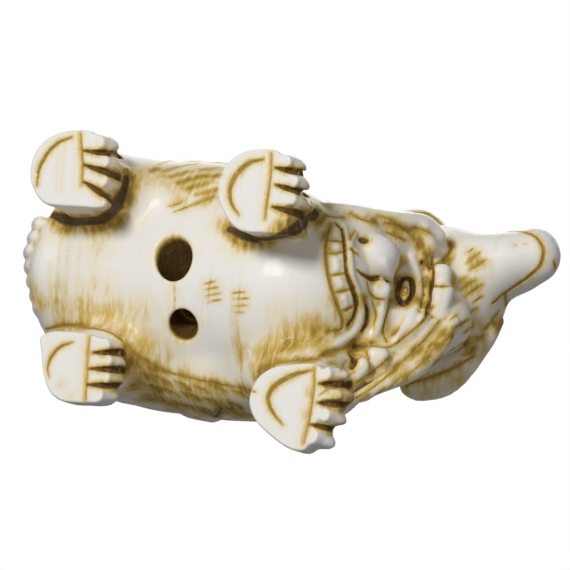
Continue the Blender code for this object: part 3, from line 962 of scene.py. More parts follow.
# Locks and rims of the lion-dog's mane: across, down, height and half width, and how far each melts in.
LION_LOCKS = (
    (((424, 316, 18.6, 0.7), (406, 338, 16.4, 0.85), (385, 350, 14.6, 0.75), (358, 358, 12.6, 0.5)), 0.25),
    (((434, 326, 19.4, 0.7), (416, 347, 17.0, 0.85), (394, 363, 14.8, 0.8), (366, 378, 12.2, 0.5)), 0.25),
    (((444, 328, 20.2, 0.7), (425, 353, 17.6, 0.9), (402, 372, 15.0, 0.85), (370, 390, 12.0, 0.5)), 0.25),
    (((453, 322, 21.0, 0.7), (437, 349, 18.4, 0.9), (412, 371, 15.4, 0.9), (380, 386, 12.6, 0.7),
      (352, 400, 11.0, 0.5)), 0.25),
    (((438, 236, 22.0, 0.8), (422, 223, 20.5, 0.9), (400, 221, 18.0, 0.9), (372, 217, 15.5, 0.9),
      (340, 212, 13.0, 0.9), (306, 208, 10.5, 0.6)), 0.3),
    (((400, 228, 18.6, 0.5), (386, 221, 17.0, 0.75), (366, 218, 15.0, 0.7), (344, 215, 13.0, 0.5)), 0.25),
)

# Masses under the face and the mane: across, down, height of the skin there, and half sizes.
FACE_MASSES = (
    (352, 233, 12.8, 3.0, 2.8, 2.8),
    (378, 239, 16.2, 3.2, 2.9, 3.0),
    (402, 243, 19.0, 3.4, 3.2, 3.0),
    (419, 251, 21.0, 3.0, 3.4, 3.0),
    (404, 292, 19.2, 3.4, 4.0, 3.4),
    (388, 322, 16.4, 3.6, 3.6, 3.2),
    (362, 328, 13.2, 3.2, 3.6, 3.0),
    (432, 290, 22.0, 2.8, 5.0, 3.0),
    (438, 322, 20.5, 3.4, 3.4, 3.4),
    (408, 343, 17.0, 3.8, 3.0, 3.8),
    (380, 363, 14.0, 3.4, 2.4, 3.4),
    (352, 378, 11.5, 2.8, 2.0, 2.8),
)

# Forelocks: across, down, height, half sizes across, down and towards the eye, and lean in degrees.
FORELOCKS = (
    (441.0, 275.5, 21.8, 0.95, 1.1, 1.6, 4.0),
    (439.0, 306.0, 21.0, 1.0, 2.25, 1.6, 16.0),
    (426.0, 242.0, 21.4, 0.95, 1.35, 1.5, -14.0),
    (419.0, 226.5, 20.6, 1.0, 0.65, 1.4, 12.0),
    (377.5, 358.5, 13.4, 1.15, 1.05, 1.3, 6.0),
    (356.0, 374.0, 11.4, 0.75, 1.7, 1.2, 40.0),
)

# The mane on the sides that the picture doesn't show, in the head's own frame.
HIDDEN_LOCKS = (
    ((2.6, 7.4, 24.4, 1.3), (1.4, 9.8, 20.4, 1.7), (-1.0, 11.0, 16.4, 1.6), (-4.4, 11.2, 12.8, 0.9)),
    ((5.6, 6.6, 23.8, 1.1), (4.8, 9.2, 20.4, 1.5), (3.0, 10.6, 16.6, 1.6), (0.2, 11.2, 12.8, 1.0)),
    ((2.6, -5.8, 24.6, 1.3), (1.0, -7.8, 20.6, 1.7), (-1.6, -8.6, 16.4, 1.5), (-4.6, -8.2, 12.6, 0.9)),
)

# Ridges of the face: across, down and half width in the picture, and height in units.
FACE_RIDGES = (
    (((344, 226, 4), (349, 250, 5), (351, 274, 5), (358, 292, 5), (361, 312, 5.5), (354, 331, 5.5),
      (338, 344, 5), (316, 356, 3)), 0.7),
    (((355, 233, 4), (351, 243, 4.5), (356, 253, 4)), 0.35),
    (((384, 262, 6), (390, 275, 7), (384, 300, 6), (378, 325, 7), (372, 338, 6)), 0.5),
    (((411, 256, 5), (417, 275, 6), (417, 298, 6), (410, 320, 6), (396, 340, 5)), 0.7),
    (((405, 280, 5.5), (405, 292, 6.5), (405, 303, 5.5)), 0.55),
    (((424, 252, 4), (428, 275, 4), (427, 300, 4), (420, 320, 3.5)), 0.3),
    (((334, 230, 4.0), (334, 236, 4.0)), 0.22),
    (((337, 245, 5), (337, 248, 5)), 0.22),
    (((336, 260, 5.5), (337, 268, 5.5)), 0.25),
    (((339, 279, 5.5), (341, 284, 5.5)), 0.25),
    (((344, 298, 5.5), (347, 304, 3.5)), 0.35),
)

# Cuts of the face: across, down and half width in the picture.
FACE_CUTS = (
    (((331, 225, 1.4), (326.5, 240, 2.4), (326.5, 262, 2.5), (331, 286, 2.6), (338, 306, 2.6),
      (343, 322, 2.2), (340, 330, 1.6), (328, 331, 1.0)), Cut.FOLD),
    (((336, 224, 1.2), (342, 231, 1.5), (344.5, 250, 1.7), (346.5, 272, 1.9), (352, 288, 2.4),
      (356, 302, 2.8), (354, 316, 2.2), (347, 326, 1.6)), Cut.DEEP),
    (((328, 240.5, 1.0), (336, 241, 1.5), (343, 242, 1.0)), Cut.FOLD),
    (((328, 253.5, 1.0), (336, 253.5, 1.4), (344, 251, 1.0)), Cut.FOLD),
    (((330, 275.5, 1.0), (338, 274.5, 1.5), (346, 273, 1.0)), Cut.FOLD),
    (((334, 292.5, 1.0), (343, 291, 1.8), (350, 289, 1.0)), Cut.FOLD),
    (((340, 311, 1.2), (347, 310, 2.2), (353, 306, 1.6)), Cut.FOLD),
    (((355, 231, 0.8), (349.5, 239, 1.9), (351, 249, 2.2), (357, 254, 1.2)), Cut.FOLD),
    (((361.5, 240.5, 3.6), (365, 241, 4.0)), Cut.DEEP),
    (((357, 270, 0.9), (364, 275.5, 1.8), (372, 279, 2.8), (378, 278, 2.4)), Cut.DEEP),
    (((354, 281, 0.7), (360, 295, 1.2), (367, 298, 1.0)), Cut.FOLD),
    (((367, 282, 0.8), (369, 291, 1.4), (375, 298, 1.6), (384, 299, 0.8)), Cut.FOLD),
    (((362, 297, 1.2), (367, 311, 2.6), (366, 324, 2.4), (361, 331, 1.2)), Cut.DEEP),
    (((372, 301, 0.8), (376, 315, 1.4), (373, 328, 0.8)), Cut.FOLD),
    (((391, 300, 1.0), (386, 316, 2.0), (383, 330, 2.2), (387, 342, 1.4)), Cut.FOLD),
    (((316, 358, 0.8), (340, 350, 1.4), (365, 345.5, 1.6), (388, 347, 1.4), (403, 338, 1.4),
      (424, 320, 1.6), (433, 306, 1.4)), Cut.FOLD),
    (((366, 351, 1.2), (369, 361, 1.4), (370, 370, 1.0)), Cut.FOLD),
    (((349, 354, 1.4), (355, 361, 4.0), (352, 368, 2.4)), Cut.DEEP),
    (((384, 222, 1.0), (400, 227, 1.8), (415, 238, 2.0), (426, 255, 1.8), (429, 272, 1.2)), Cut.FOLD),
    (((432, 258, 1.2), (433, 275, 2.4), (431, 296, 2.6), (426, 315, 2.0)), Cut.DEEP),
    (((411, 227, 0.8), (421, 229, 1.4), (432, 234, 0.8)), Cut.FOLD),
    (((431, 286, 0.9), (441, 286.5, 1.4), (450, 286, 0.9)), Cut.FOLD),
    (((345, 404, 0.9), (372, 388, 1.2), (398, 366, 1.4), (424, 340, 1.4), (440, 320, 0.9)), Cut.FOLD),
    (((350, 385, 0.8), (372, 372, 1.2), (394, 353, 1.2)), Cut.FOLD),
    (((386, 232, 1.2), (396, 236, 2.0), (406, 241, 1.4)), Cut.FOLD),
    (((398, 224, 0.8), (390, 219, 1.2), (378, 216, 0.8)), Cut.FOLD),
    (((352, 214, 0.8), (364, 220, 1.6), (376, 222, 1.0)), Cut.FOLD),
    (((312, 214, 0.8), (326, 216, 1.4), (342, 218, 1.0)), Cut.FOLD),
)

# Rings round the eye: middle, half sizes, half width, lean and kind.
FACE_RINGS = (
    ((405.0, 290.5), (7.4, 13.0), 3.4, 8.0, Cut.DEEP),
    ((405.0, 291.5), (2.6, 4.4), 1.1, 8.0, Cut.FOLD),
)

# Short strokes of the brow and the mane: both ends and half width in the picture.
FACE_TICKS = (
    (421, 262, 425, 260, 1.1), (422, 270, 427, 269, 1.1), (423, 278, 428, 277, 1.1),
    (423, 286, 428, 286, 1.1), (422, 294, 427, 295, 1.1), (420, 302, 425, 304, 1.1),
    (417, 310, 422, 313, 1.1), (404, 291, 407, 294, 1.6), (412, 372, 424, 360, 1.2),
    (402, 381, 416, 368, 1.2), (388, 388, 402, 376, 1.2), (374, 396, 386, 387, 1.2),
    (426, 352, 436, 341, 1.1), (432, 366, 442, 356, 1.1), (360, 400, 370, 393, 1.1),
    (346, 378, 356, 370, 1.0),
)


@dataclass
class Pup:
    """The young animal that rides on the back: body, legs, tail, head and drooping ears.

    Masses are middles and half sizes in the carving's own frame, and those of the head are in the head's.
    """

    masses: Rows = (
        (5.0, -3.4, 27.0, 7.0, 6.2, 5.4),
        (-4.0, -2.0, 26.6, 9.4, 6.8, 5.6),
        (-11.6, -1.4, 25.6, 6.4, 6.6, 5.8),
    )
    head: Rows = (
        (0.2, -0.2, 29.4, 7.0, 6.7, 5.7),
        (3.2, -0.5, 28.0, 5.2, 4.5, 4.2),
        (6.2, -0.9, 27.4, 5.2, 2.9, 2.5),
        (7.9, -0.9, 29.4, 5.2, 3.3, 2.8),
        (11.6, -0.9, 28.7, 1.9, 2.5, 2.0),
    )

    def model(self, clay: Clay) -> None:
        """Melts the riding animal onto the back.

        Args:
            clay: The clay.
        """
        for row in self.masses:
            clay.lump(row[:3], row[3:], turned_axes(0), 1.4)
        axes = turned_axes(PUP_FRAME.turn)
        for row in self.head:
            clay.lump(PUP_FRAME.out([row[:3]])[0], row[3:], axes, 1.2)
        for rows in PUP_EYES:
            clay.lump(PUP_FRAME.out([rows[:3]])[0], rows[3:], axes, 0.5)
        for rows in PUP_LIMBS:
            clay.lock(rows, 0.8)
        for rows in PUP_EARS:
            clay.lock(SIGHT.at_height(rows), 0.5)
        clay.lock(PUP_TAIL, 0.7)

    def cut(self, clay: Clay) -> None:
        """Cuts mouth, nostril, ears and fur.

        Args:
            clay: The clay.
        """
        for rows, cut in PUP_CUTS:
            draw(clay, rows, cut)
        for x0, y0, x1, y1, width in PUP_STROKES:
            draw(clay, stroke((x0, y0), (x1, y1), width), Cut.STROKE)


# The young animal's eyes: middle and half sizes in its head's own frame.
PUP_EYES = ((4.2, 2.6, 31.4, 1.3, 1.1, 1.1), (5.1, -3.3, 31.0, 1.5, 1.3, 1.3))
# Its legs and its tail in the carving's own frame: places and half widths.
PUP_LIMBS = (
    ((6.4, 1.0, 27.0, 2.6), (8.4, 4.2, 25.0, 2.3), (9.8, 5.6, 22.4, 1.9), (11.2, 5.6, 20.6, 1.5)),
    ((4.2, -6.6, 27.0, 2.6), (4.4, -8.8, 25.0, 2.1), (4.8, -10.0, 22.2, 1.8), (6.6, -10.4, 20.4, 1.5)),
    ((-12.0, 2.6, 25.0, 3.6), (-9.4, 6.4, 24.6, 3.0), (-8.6, 8.6, 22.0, 2.1), (-5.6, 9.4, 21.0, 1.7)),
    ((-12.4, -5.6, 25.0, 3.6), (-10.6, -9.0, 24.6, 3.0), (-10.0, -11.2, 22.0, 2.1),
     (-7.0, -12.0, 21.0, 1.7)),
)
# Its ears: across, down, height and half width.
PUP_EARS = (
    ((496, 321, 30.2, 0.8), (486, 336, 29.9, 1.1), (475, 349, 29.4, 1.3), (460, 365, 28.4, 1.6),
     (441, 376, 27.2, 2.1), (422, 382, 26.2, 1.9), (415, 383, 26.0, 1.6)),
    ((446, 238, 29.5, 0.7), (435, 229, 29.0, 1.1), (421, 222, 28.2, 1.3), (404, 220, 27.2, 1.0)),
)
PUP_TAIL = (
    (-16.4, -1.4, 26.4, 1.8), (-19.4, -1.2, 27.4, 1.8), (-19.6, -0.6, 30.4, 1.4), (-17.2, -0.4, 31.0, 0.8),
)
# Its mouth, nostrils and folds: across, down and half width in the picture.
PUP_CUTS = (
    (((488, 231, 0.7), (505, 231, 0.9), (524, 232, 1.3), (537, 238, 1.8), (543.5, 250, 2.1),
      (540.5, 265, 2.2), (527, 278, 2.1), (506, 292, 2.0), (493, 303, 1.6)), Cut.FOLD),
    (((554, 261, 1.2), (555.5, 268, 1.5)), Cut.FOLD),
    (((514, 245, 0.8), (516, 245.4, 0.8)), Cut.FINE),
    (((524, 243.5, 0.8), (526, 244, 0.8)), Cut.FINE),
    (((505, 293, 1.4), (506, 310, 1.2), (500, 325, 1.0)), Cut.FOLD),
    (((498, 312, 0.9), (492, 320, 1.2), (497, 329, 0.9)), Cut.FOLD),
    (((408, 384, 1.0), (430, 377, 2.0), (452, 368, 2.0), (474, 356, 1.2)), Cut.FOLD),
    (((410, 212, 0.8), (428, 214, 1.2), (443, 225, 1.0)), Cut.FOLD),
)
# Its fur: both ends and half width of each stroke in the picture.
PUP_STROKES = (
    (467, 253, 474, 248, 1.2), (466, 263, 481, 251.5, 1.7), (470, 270, 487, 259.5, 2.2),
    (460, 281, 466, 277, 1.4), (461, 290, 476, 279.5, 1.8), (464, 297.5, 483, 284, 2.2),
    (472, 303, 483, 295.5, 1.7), (453, 329, 470, 319, 2.2), (463, 333, 471, 327, 1.5),
    (436, 340, 446, 330, 1.8), (441, 345, 453, 334, 1.8), (450, 320, 458, 314, 1.2),
    (421, 364, 432, 355, 1.8), (446, 354, 456, 347, 1.6), (456, 347, 468, 340, 1.6),
    (464, 356, 474, 349, 1.6), (474, 341, 484, 335, 1.5), (470, 312, 478, 307, 1.3),
    (484, 328, 491, 322, 1.3), (430, 352, 440, 344, 1.3),
)


@dataclass
class Tail:
    """The lion-dog's tail: locks fanned over the rump.

    Each lock runs out to one of the sides and stands ahead of the profile by its shift. A row of the profile
    is place along the body, share of the way out to the side, height and half width.
    """

    sides: tuple[float, ...] = (-6.0, -4.6, -3.2, -1.8, -0.4, 1.0, 2.2)
    shifts: tuple[float, ...] = (-0.4, -0.7, -0.9, -0.6, -0.1, 0.5, 1.1)
    middle: float = -2.4
    root: tuple[float, ...] = (-19.2, -2.2, 12.6, 3.0, 6.4, 6.6)
    profile: Rows = (
        (-20.6, 1.0, 8.2, 0.75),
        (-21.8, 1.0, 10.8, 1.05),
        (-21.4, 0.9, 15.6, 0.95),
        (-18.4, 0.5, 21.6, 0.85),
        (-15.4, 0.3, 24.4, 0.6),
    )

    def model(self, clay: Clay) -> None:
        """Melts the locks onto the rump.

        Args:
            clay: The clay.
        """
        clay.lump(self.root[:3], self.root[3:], turned_axes(0), 1.6)
        for side, ahead in zip(self.sides, self.shifts):
            rows = [
                (x + ahead, self.middle + (side - self.middle) * share, z, half)
                for x, share, z, half in self.profile
            ]
            clay.lock(rows, 0.3)


@dataclass
class Belly:
    """The underside: two cord holes that meet inside, fur on the flanks and a plain row of strokes.

    Large and small are the holes' places on the belly, slant is how far each bore leans from upright in
    degrees, and flare is how much wider it is where it starts, outside the skin.
    """

    large: tuple[float, float, float] = (-3.9, -3.1, 5.7)
    small: tuple[float, float, float] = (-2.2, 3.5, 5.7)
    large_bore: float = 1.55e-3 / UNIT
    small_bore: float = 1.25e-3 / UNIT
    slant: float = 38.0
    flare: float = 1.22

    def cut(self, clay: Clay) -> None:
        """Drills the cord holes and cuts the lines of the underside.

        Args:
            clay: The clay.
        """
        large, small = np.array(self.large), np.array(self.small)
        run = small - large
        half = np.linalg.norm(run) / 2
        deep = (large + small) / 2 + np.array((0, 0, half / math.tan(math.radians(self.slant))))
        for mouth, bore in ((large, self.large_bore), (small, self.small_bore)):
            start = mouth + (mouth - deep) * 0.5
            clay.drill([(*start, bore * self.flare), (*deep, bore)], 0.35)
        for x0, y0, x1, y1, width in BELLY_STROKES:
            draw(clay, stroke((x0, y0), (x1, y1), width), Cut.STROKE)
        for rows, cut in BELLY_CUTS:
            draw(clay, rows, cut)


# The plain strokes between the holes and the fur of the flanks: both ends and half width.
BELLY_STROKES = (
    (205, 284, 216, 281, 0.8), (204, 290, 219, 287, 0.9), (205, 296, 221, 293, 0.9),
    (209, 302, 222, 299, 0.8), (233, 293, 246, 292, 0.8), (234, 299, 249, 298, 0.9),
    (234, 306, 248, 305, 0.9), (235, 312, 245, 312, 0.8), (158, 164, 174, 160, 1.0),
    (162, 171, 182, 166, 1.2), (170, 177, 192, 171, 1.2), (177, 183, 203, 176, 1.3),
    (188, 189, 212, 182, 1.2), (196, 195, 219, 189, 1.2), (168, 207, 184, 201, 1.3),
    (174, 212, 192, 205, 1.2), (186, 208, 206, 200, 1.2), (200, 170, 220, 168, 1.0),
    (206, 177, 223, 175, 1.0), (184, 166, 200, 163, 0.9), (150, 171, 160, 168, 0.9),
    (196, 203, 214, 197, 1.0), (140, 372, 154, 380, 1.6), (156, 376, 172, 385, 1.7),
    (174, 380, 190, 389, 1.7), (192, 384, 208, 392, 1.6), (146, 384, 160, 391, 1.6),
    (164, 389, 180, 396, 1.7), (184, 393, 200, 400, 1.7), (204, 398, 220, 404, 1.6),
    (214, 386, 228, 392, 1.5), (232, 390, 246, 396, 1.6), (158, 398, 172, 403, 1.4),
    (178, 403, 194, 408, 1.5), (198, 408, 212, 412, 1.4), (226, 402, 242, 408, 1.6),
    (228, 412, 244, 415, 1.4), (134, 360, 142, 370, 1.3), (318, 396, 330, 388, 1.2),
    (340, 372, 346, 360, 1.0),
)
# Folds, the painted shadow behind the paws and the growth lines: across, down and half width.
BELLY_CUTS = (
    (((46, 329, 1.2), (66, 325.5, 2.4), (90, 327.5, 2.4), (112, 333, 2.2), (126, 345, 1.8),
      (130, 360, 1.2)), Cut.FOLD),
    # Painted shadow under and beside the rear right and front right paws, drawn as shallow cuts.
    (((49, 213, 4.0), (66, 219, 8.0), (86, 221, 9.0), (104, 218, 10.0), (115, 208, 11.0),
      (122, 195, 11.0), (126, 180, 8.0)), Cut.SHADE),
    (((229, 229, 4.0), (246, 236, 7.0), (266, 239, 8.5), (288, 234, 9.5), (303, 224, 9.5),
      (315, 212, 8.0)), Cut.SHADE),
    (((256, 378, 1.0), (272, 365, 1.6), (296, 360, 1.8), (320, 359, 1.4)), Cut.FOLD),
    (((64, 226, 0.5), (60, 250, 0.7), (58, 276, 0.7), (57, 300, 0.4)), Cut.GRAIN),
    (((72, 230, 0.4), (68, 256, 0.6), (66, 292, 0.4)), Cut.GRAIN),
    (((52, 262, 0.4), (50, 280, 0.6), (51, 298, 0.4)), Cut.GRAIN),
    (((100, 240, 0.3), (96, 262, 0.5), (95, 286, 0.3)), Cut.GRAIN),
    (((82, 236, 0.3), (79, 262, 0.5), (78, 300, 0.3)), Cut.GRAIN),
    (((66, 141, 0.4), (63, 160, 0.6), (62, 190, 0.4)), Cut.GRAIN),
    (((59, 152, 0.3), (57, 170, 0.5), (57, 192, 0.3)), Cut.GRAIN),
    (((131, 352, 0.9), (160, 369, 1.0), (200, 380, 1.2), (240, 388, 1.0), (256, 392, 0.8)), Cut.FOLD),
    (((222, 408, 1.2), (216, 417, 2.0)), Cut.DEEP),
    (((235, 310, 0.35), (239, 338, 0.5), (241, 372, 0.35)), Cut.FINE),
    (((174, 285, 0.3), (175.5, 297, 0.45), (174, 309, 0.3)), Cut.FINE),
)


@dataclass(frozen=True)
class Fur:
    """Rows of strokes on a side that the picture doesn't show.

    The strokes stand on a flat patch from start along two edges, and are carried onto the skin along way.
    Rows are how many stand along each edge, and lean is how far a stroke runs.
    """

    start: tuple[float, float, float]
    along: tuple[float, float, float]
    up: tuple[float, float, float]
    way: tuple[float, float, float]
    rows: tuple[int, int]
    lean: tuple[float, float, float]
    width: float = 0.16

    def cut(self, clay: Clay, chance: np.random.Generator) -> None:
        """Cuts the strokes, each shifted a little.

        Args:
            clay: The clay.
            chance: Where the shifts come from.
        """
        across, high = self.rows
        u, v = (line.ravel() for line in np.meshgrid(np.arange(across), np.arange(high)))
        u = (u + 0.5 * (v % 2) + chance.uniform(-0.22, 0.22, u.size)) / across
        v = (v + 0.5 + chance.uniform(-0.2, 0.2, v.size)) / high
        spots = np.array(self.start) + u[:, None] * np.array(self.along) + v[:, None] * np.array(self.up)
        way = np.array(self.way) / np.linalg.norm(self.way)
        ends = spots + np.array(self.lean) * chance.uniform(0.75, 1.2, u.size)[:, None]
        starts, stops = (clay.met(places, np.tile(way, (u.size, 1)), 16.0) for places in (spots, ends))
        girth = self.width * np.array((0.3, 0.85, 1.0, 0.3))
        for a, b in zip(starts, stops):
            if np.linalg.norm(b - a) > 2 * np.linalg.norm(self.lean):
                continue
            places = clay.laid([a + (b - a) * share for share in (0.0, 0.35, 0.7, 1.0)])
            clay.engrave(np.hstack([places, girth[:, None]]), 1.1, 0.62)


# Fur of the flanks, the rump, and the young animal's back, sides and neck.
FUR = (
    Fur((-13.0, -17.0, 12.5), (15.0, 0, 0), (0, 0, 9.5), (0, 1, 0), (8, 6), (-1.7, 0, -1.0)),
    Fur((-11.0, 17.0, 14.5), (15.0, 0, 0), (0, 0, 7.0), (0, -1, 0), (8, 5), (-1.7, 0, -1.0)),
    Fur((-26.0, 3.4, 12.0), (0, 5.0, 0), (0, 0, 9.0), (1, 0, 0), (4, 6), (0, 0.5, -1.7)),
    Fur((-26.0, -12.4, 12.0), (0, 5.0, 0), (0, 0, 9.0), (1, 0, 0), (4, 6), (0, -0.5, -1.7)),
    Fur((-13.0, -5.4, 37.0), (17.0, 0, 0), (0, 3.6, 0), (0, 0, -1), (9, 3), (-1.8, -0.5, 0)),
    Fur((-13.0, -0.6, 37.0), (17.0, 0, 0), (0, 3.6, 0), (0, 0, -1), (9, 3), (-1.8, 0.5, 0)),
    Fur((-11.0, -14.0, 24.6), (12.0, 0, 0), (0, 0, 4.2), (0, 1, 0), (7, 3), (-1.7, 0, -0.7)),
    Fur((-7.0, 14.0, 25.0), (11.0, 0, 0), (0, 0, 4.2), (0, -1, 0), (7, 3), (-1.7, 0, -0.7)),
    Fur((8.4, -7.4, 38.0), (4.0, 0, 0), (0, 7.0, 0), (0, 0, -1), (3, 6), (-1.6, 0.4, 0), 0.14),
)

# Rings of the eyes that the picture doesn't show: frame, middle, radii across and up, and half width.
HIDDEN_EYES = (
    (PUP_FRAME, (5.4, 4.4, 31.2), (0.75, 0.6), 0.22),
    (PUP_FRAME, (5.4, -4.4, 31.2), (0.75, 0.6), 0.22),
)

# Folds on those sides, in the carving's own frame: places and half widths.
HIDDEN_FOLDS = (
    ((-13.0, -1.6, 33.0, 0.16), (-6.0, -1.4, 33.6, 0.26), (2.0, -2.6, 33.6, 0.26), (7.0, -4.0, 34.6, 0.16)),
    ((-15.6, -8.4, 27.0, 0.2), (-12.6, -10.4, 24.4, 0.34), (-11.6, -12.2, 21.8, 0.34),
     (-9.0, -13.0, 19.6, 0.2)),
    ((-14.6, 5.4, 27.0, 0.2), (-11.0, 8.4, 24.4, 0.34), (-9.8, 10.0, 21.8, 0.34), (-6.6, 10.8, 19.4, 0.2)),
    ((8.6, -4.6, 23.6, 0.2), (12.0, -6.4, 22.6, 0.3), (14.6, -7.6, 23.2, 0.3), (16.0, -8.4, 24.6, 0.2)),
)


@dataclass
class HiddenSides:
    """The carving on the sides that the picture doesn't show, in keeping with those it does, and plainer."""

    seed: int = 7
    ring_points: int = 10

    def cut(self, clay: Clay) -> None:
        """Cuts fur, folds, eyes and the far side of the young animal's mouth.

        Args:
            clay: The clay.
        """
        chance = np.random.default_rng(self.seed)
        for fur in FUR:
            fur.cut(clay, chance)
        for rows in HIDDEN_FOLDS:
            clay.engrave(clay.laid(smooth_path(rows, 6)), 1.4, 0.75)
        turns = np.arange(self.ring_points) * math.tau / self.ring_points
        for frame, (x, y, z), (across, up), width in HIDDEN_EYES:
            side = math.copysign(1.0, y)
            axes = turned_axes(frame.turn + side * 55.0)
            middle = frame.out([(x, y, z)])[0]
            places = [middle + axes[1] * across * math.cos(a) + axes[2] * up * math.sin(a) for a in turns]
            rows = np.array([(*place, width) for place in places])
            clay.engrave(clay.laid(smooth_path(rows, 3, closed=True)), 1.8, 0.95)
            pupil = np.array([(*(middle - axes[1] * 0.15), width), (*(middle + axes[1] * 0.15), width)])
            clay.engrave(clay.laid(pupil), 1.6, 0.95)


@dataclass(frozen=True)
class StainAndShade:
    """A place, in the picture's steps, that is coloured: some by tea and handling, some by painted shade and
    shadow.
    """

    across: float
    down: float
    reach: float
    strength: float


STAINS_AND_SHADE = (
    StainAndShade(312, 334, 26, 1.1), StainAndShade(290, 342, 26, 1.15), StainAndShade(268, 356, 24, 1.1),
    StainAndShade(262, 372, 22, 1.0), StainAndShade(245, 352, 22, 0.5), StainAndShade(326, 350, 20, 0.8),
    # From the spot at 126, 172 to the one at 50, 214: painted shadow below and right of the rear right paw.
    StainAndShade(300, 362, 24, 0.85), StainAndShade(280, 312, 18, 0.35), StainAndShade(126, 172, 17, 1.0),
    StainAndShade(138, 178, 20, 0.75), StainAndShade(122, 196, 18, 1.0), StainAndShade(112, 216, 20, 0.95),
    StainAndShade(90, 222, 20, 0.9), StainAndShade(66, 222, 20, 0.85), StainAndShade(50, 214, 14, 0.7),
    StainAndShade(100, 238, 26, 0.4), StainAndShade(158, 176, 28, 0.6), StainAndShade(184, 184, 28, 0.6),
    StainAndShade(206, 176, 26, 0.65), StainAndShade(215, 196, 22, 0.55), StainAndShade(60, 308, 24, 0.75),
    StainAndShade(85, 310, 24, 0.8), StainAndShade(112, 312, 26, 0.75), StainAndShade(138, 316, 24, 0.65),
    StainAndShade(60, 294, 22, 0.45), StainAndShade(100, 294, 26, 0.4), StainAndShade(145, 345, 22, 0.8),
    StainAndShade(130, 358, 22, 0.9), StainAndShade(128, 330, 18, 0.75), StainAndShade(150, 368, 24, 0.8),
    # From the spot at 222, 224 to the one at 326, 206: painted shadow below and right of the front right paw.
    StainAndShade(170, 352, 20, 0.45), StainAndShade(186, 370, 20, 0.5), StainAndShade(222, 224, 16, 0.7),
    StainAndShade(242, 236, 20, 0.9), StainAndShade(266, 238, 20, 0.95), StainAndShade(292, 230, 20, 1.0),
    StainAndShade(306, 222, 18, 1.0), StainAndShade(318, 214, 18, 0.9), StainAndShade(322, 236, 12, 0.5),
    StainAndShade(326, 206, 14, 0.7), StainAndShade(447, 239, 12, 1.0), StainAndShade(430, 250, 12, 0.7),
    StainAndShade(420, 240, 14, 0.7), StainAndShade(395, 225, 16, 0.7), StainAndShade(372, 218, 14, 0.6),
    StainAndShade(346, 216, 14, 0.55), StainAndShade(424, 282, 9, 0.9), StainAndShade(424, 262, 9, 0.7),
    StainAndShade(420, 302, 9, 0.9), StainAndShade(40, 240, 16, 0.4), StainAndShade(32, 290, 18, 0.8), StainAndShade(40, 302, 16, 0.9),
    StainAndShade(309, 392, 8, 0.4), StainAndShade(306, 414, 8, 0.4), StainAndShade(86, 352, 6, 0.4), StainAndShade(62, 384, 9, 0.45),
    StainAndShade(70, 396, 8, 0.4), StainAndShade(474, 262, 14, 0.5), StainAndShade(470, 285, 14, 0.5),
    StainAndShade(456, 300, 14, 0.6), StainAndShade(446, 262, 14, 0.6), StainAndShade(470, 345, 18, 0.7),
    StainAndShade(450, 335, 18, 0.7), StainAndShade(436, 350, 18, 0.8), StainAndShade(400, 372, 18, 0.7),
    StainAndShade(420, 355, 18, 0.8), StainAndShade(404, 390, 12, 0.9), StainAndShade(372, 345, 14, 0.7),
    StainAndShade(350, 350, 14, 0.8), StainAndShade(332, 362, 16, 0.8), StainAndShade(365, 385, 18, 0.7),
    # From the spot at 160, 388 to the one at 214, 384: painted shade darkening the lower flank.
    StainAndShade(344, 396, 18, 0.75), StainAndShade(490, 330, 14, 0.6), StainAndShade(160, 388, 24, 0.8),
    StainAndShade(190, 396, 24, 0.8), StainAndShade(220, 402, 22, 0.85), StainAndShade(246, 392, 20, 0.8),
    StainAndShade(214, 384, 20, 0.6), StainAndShade(330, 250, 5, 0.5), StainAndShade(330, 300, 8, 0.5),
    StainAndShade(345, 322, 10, 0.6), StainAndShade(364, 300, 10, 0.5), StainAndShade(392, 300, 9, 0.8),
    StainAndShade(392, 330, 12, 0.6), StainAndShade(378, 286, 7, 0.5), StainAndShade(395, 280, 8, 0.7),
    # From the spot at 134, 386 to the one at 244, 414: painted shade darkening the lower flank, strongest
    # along its bottom edge.
    StainAndShade(134, 386, 20, 1.1), StainAndShade(152, 397, 24, 1.15), StainAndShade(176, 405, 24, 1.15),
    StainAndShade(202, 411, 24, 1.15), StainAndShade(228, 409, 22, 1.15), StainAndShade(244, 414, 16, 1.1),
    # From the spot at 430, 392 to the one at 484, 350: painted shade on the young animal's lower side.
    StainAndShade(430, 392, 20, 0.7), StainAndShade(458, 380, 20, 0.7), StainAndShade(500, 326, 18, 0.75),
    StainAndShade(478, 322, 18, 0.6), StainAndShade(484, 350, 18, 0.7), StainAndShade(352, 396, 14, 0.9),
)


Socket = bpy.types.NodeSocket


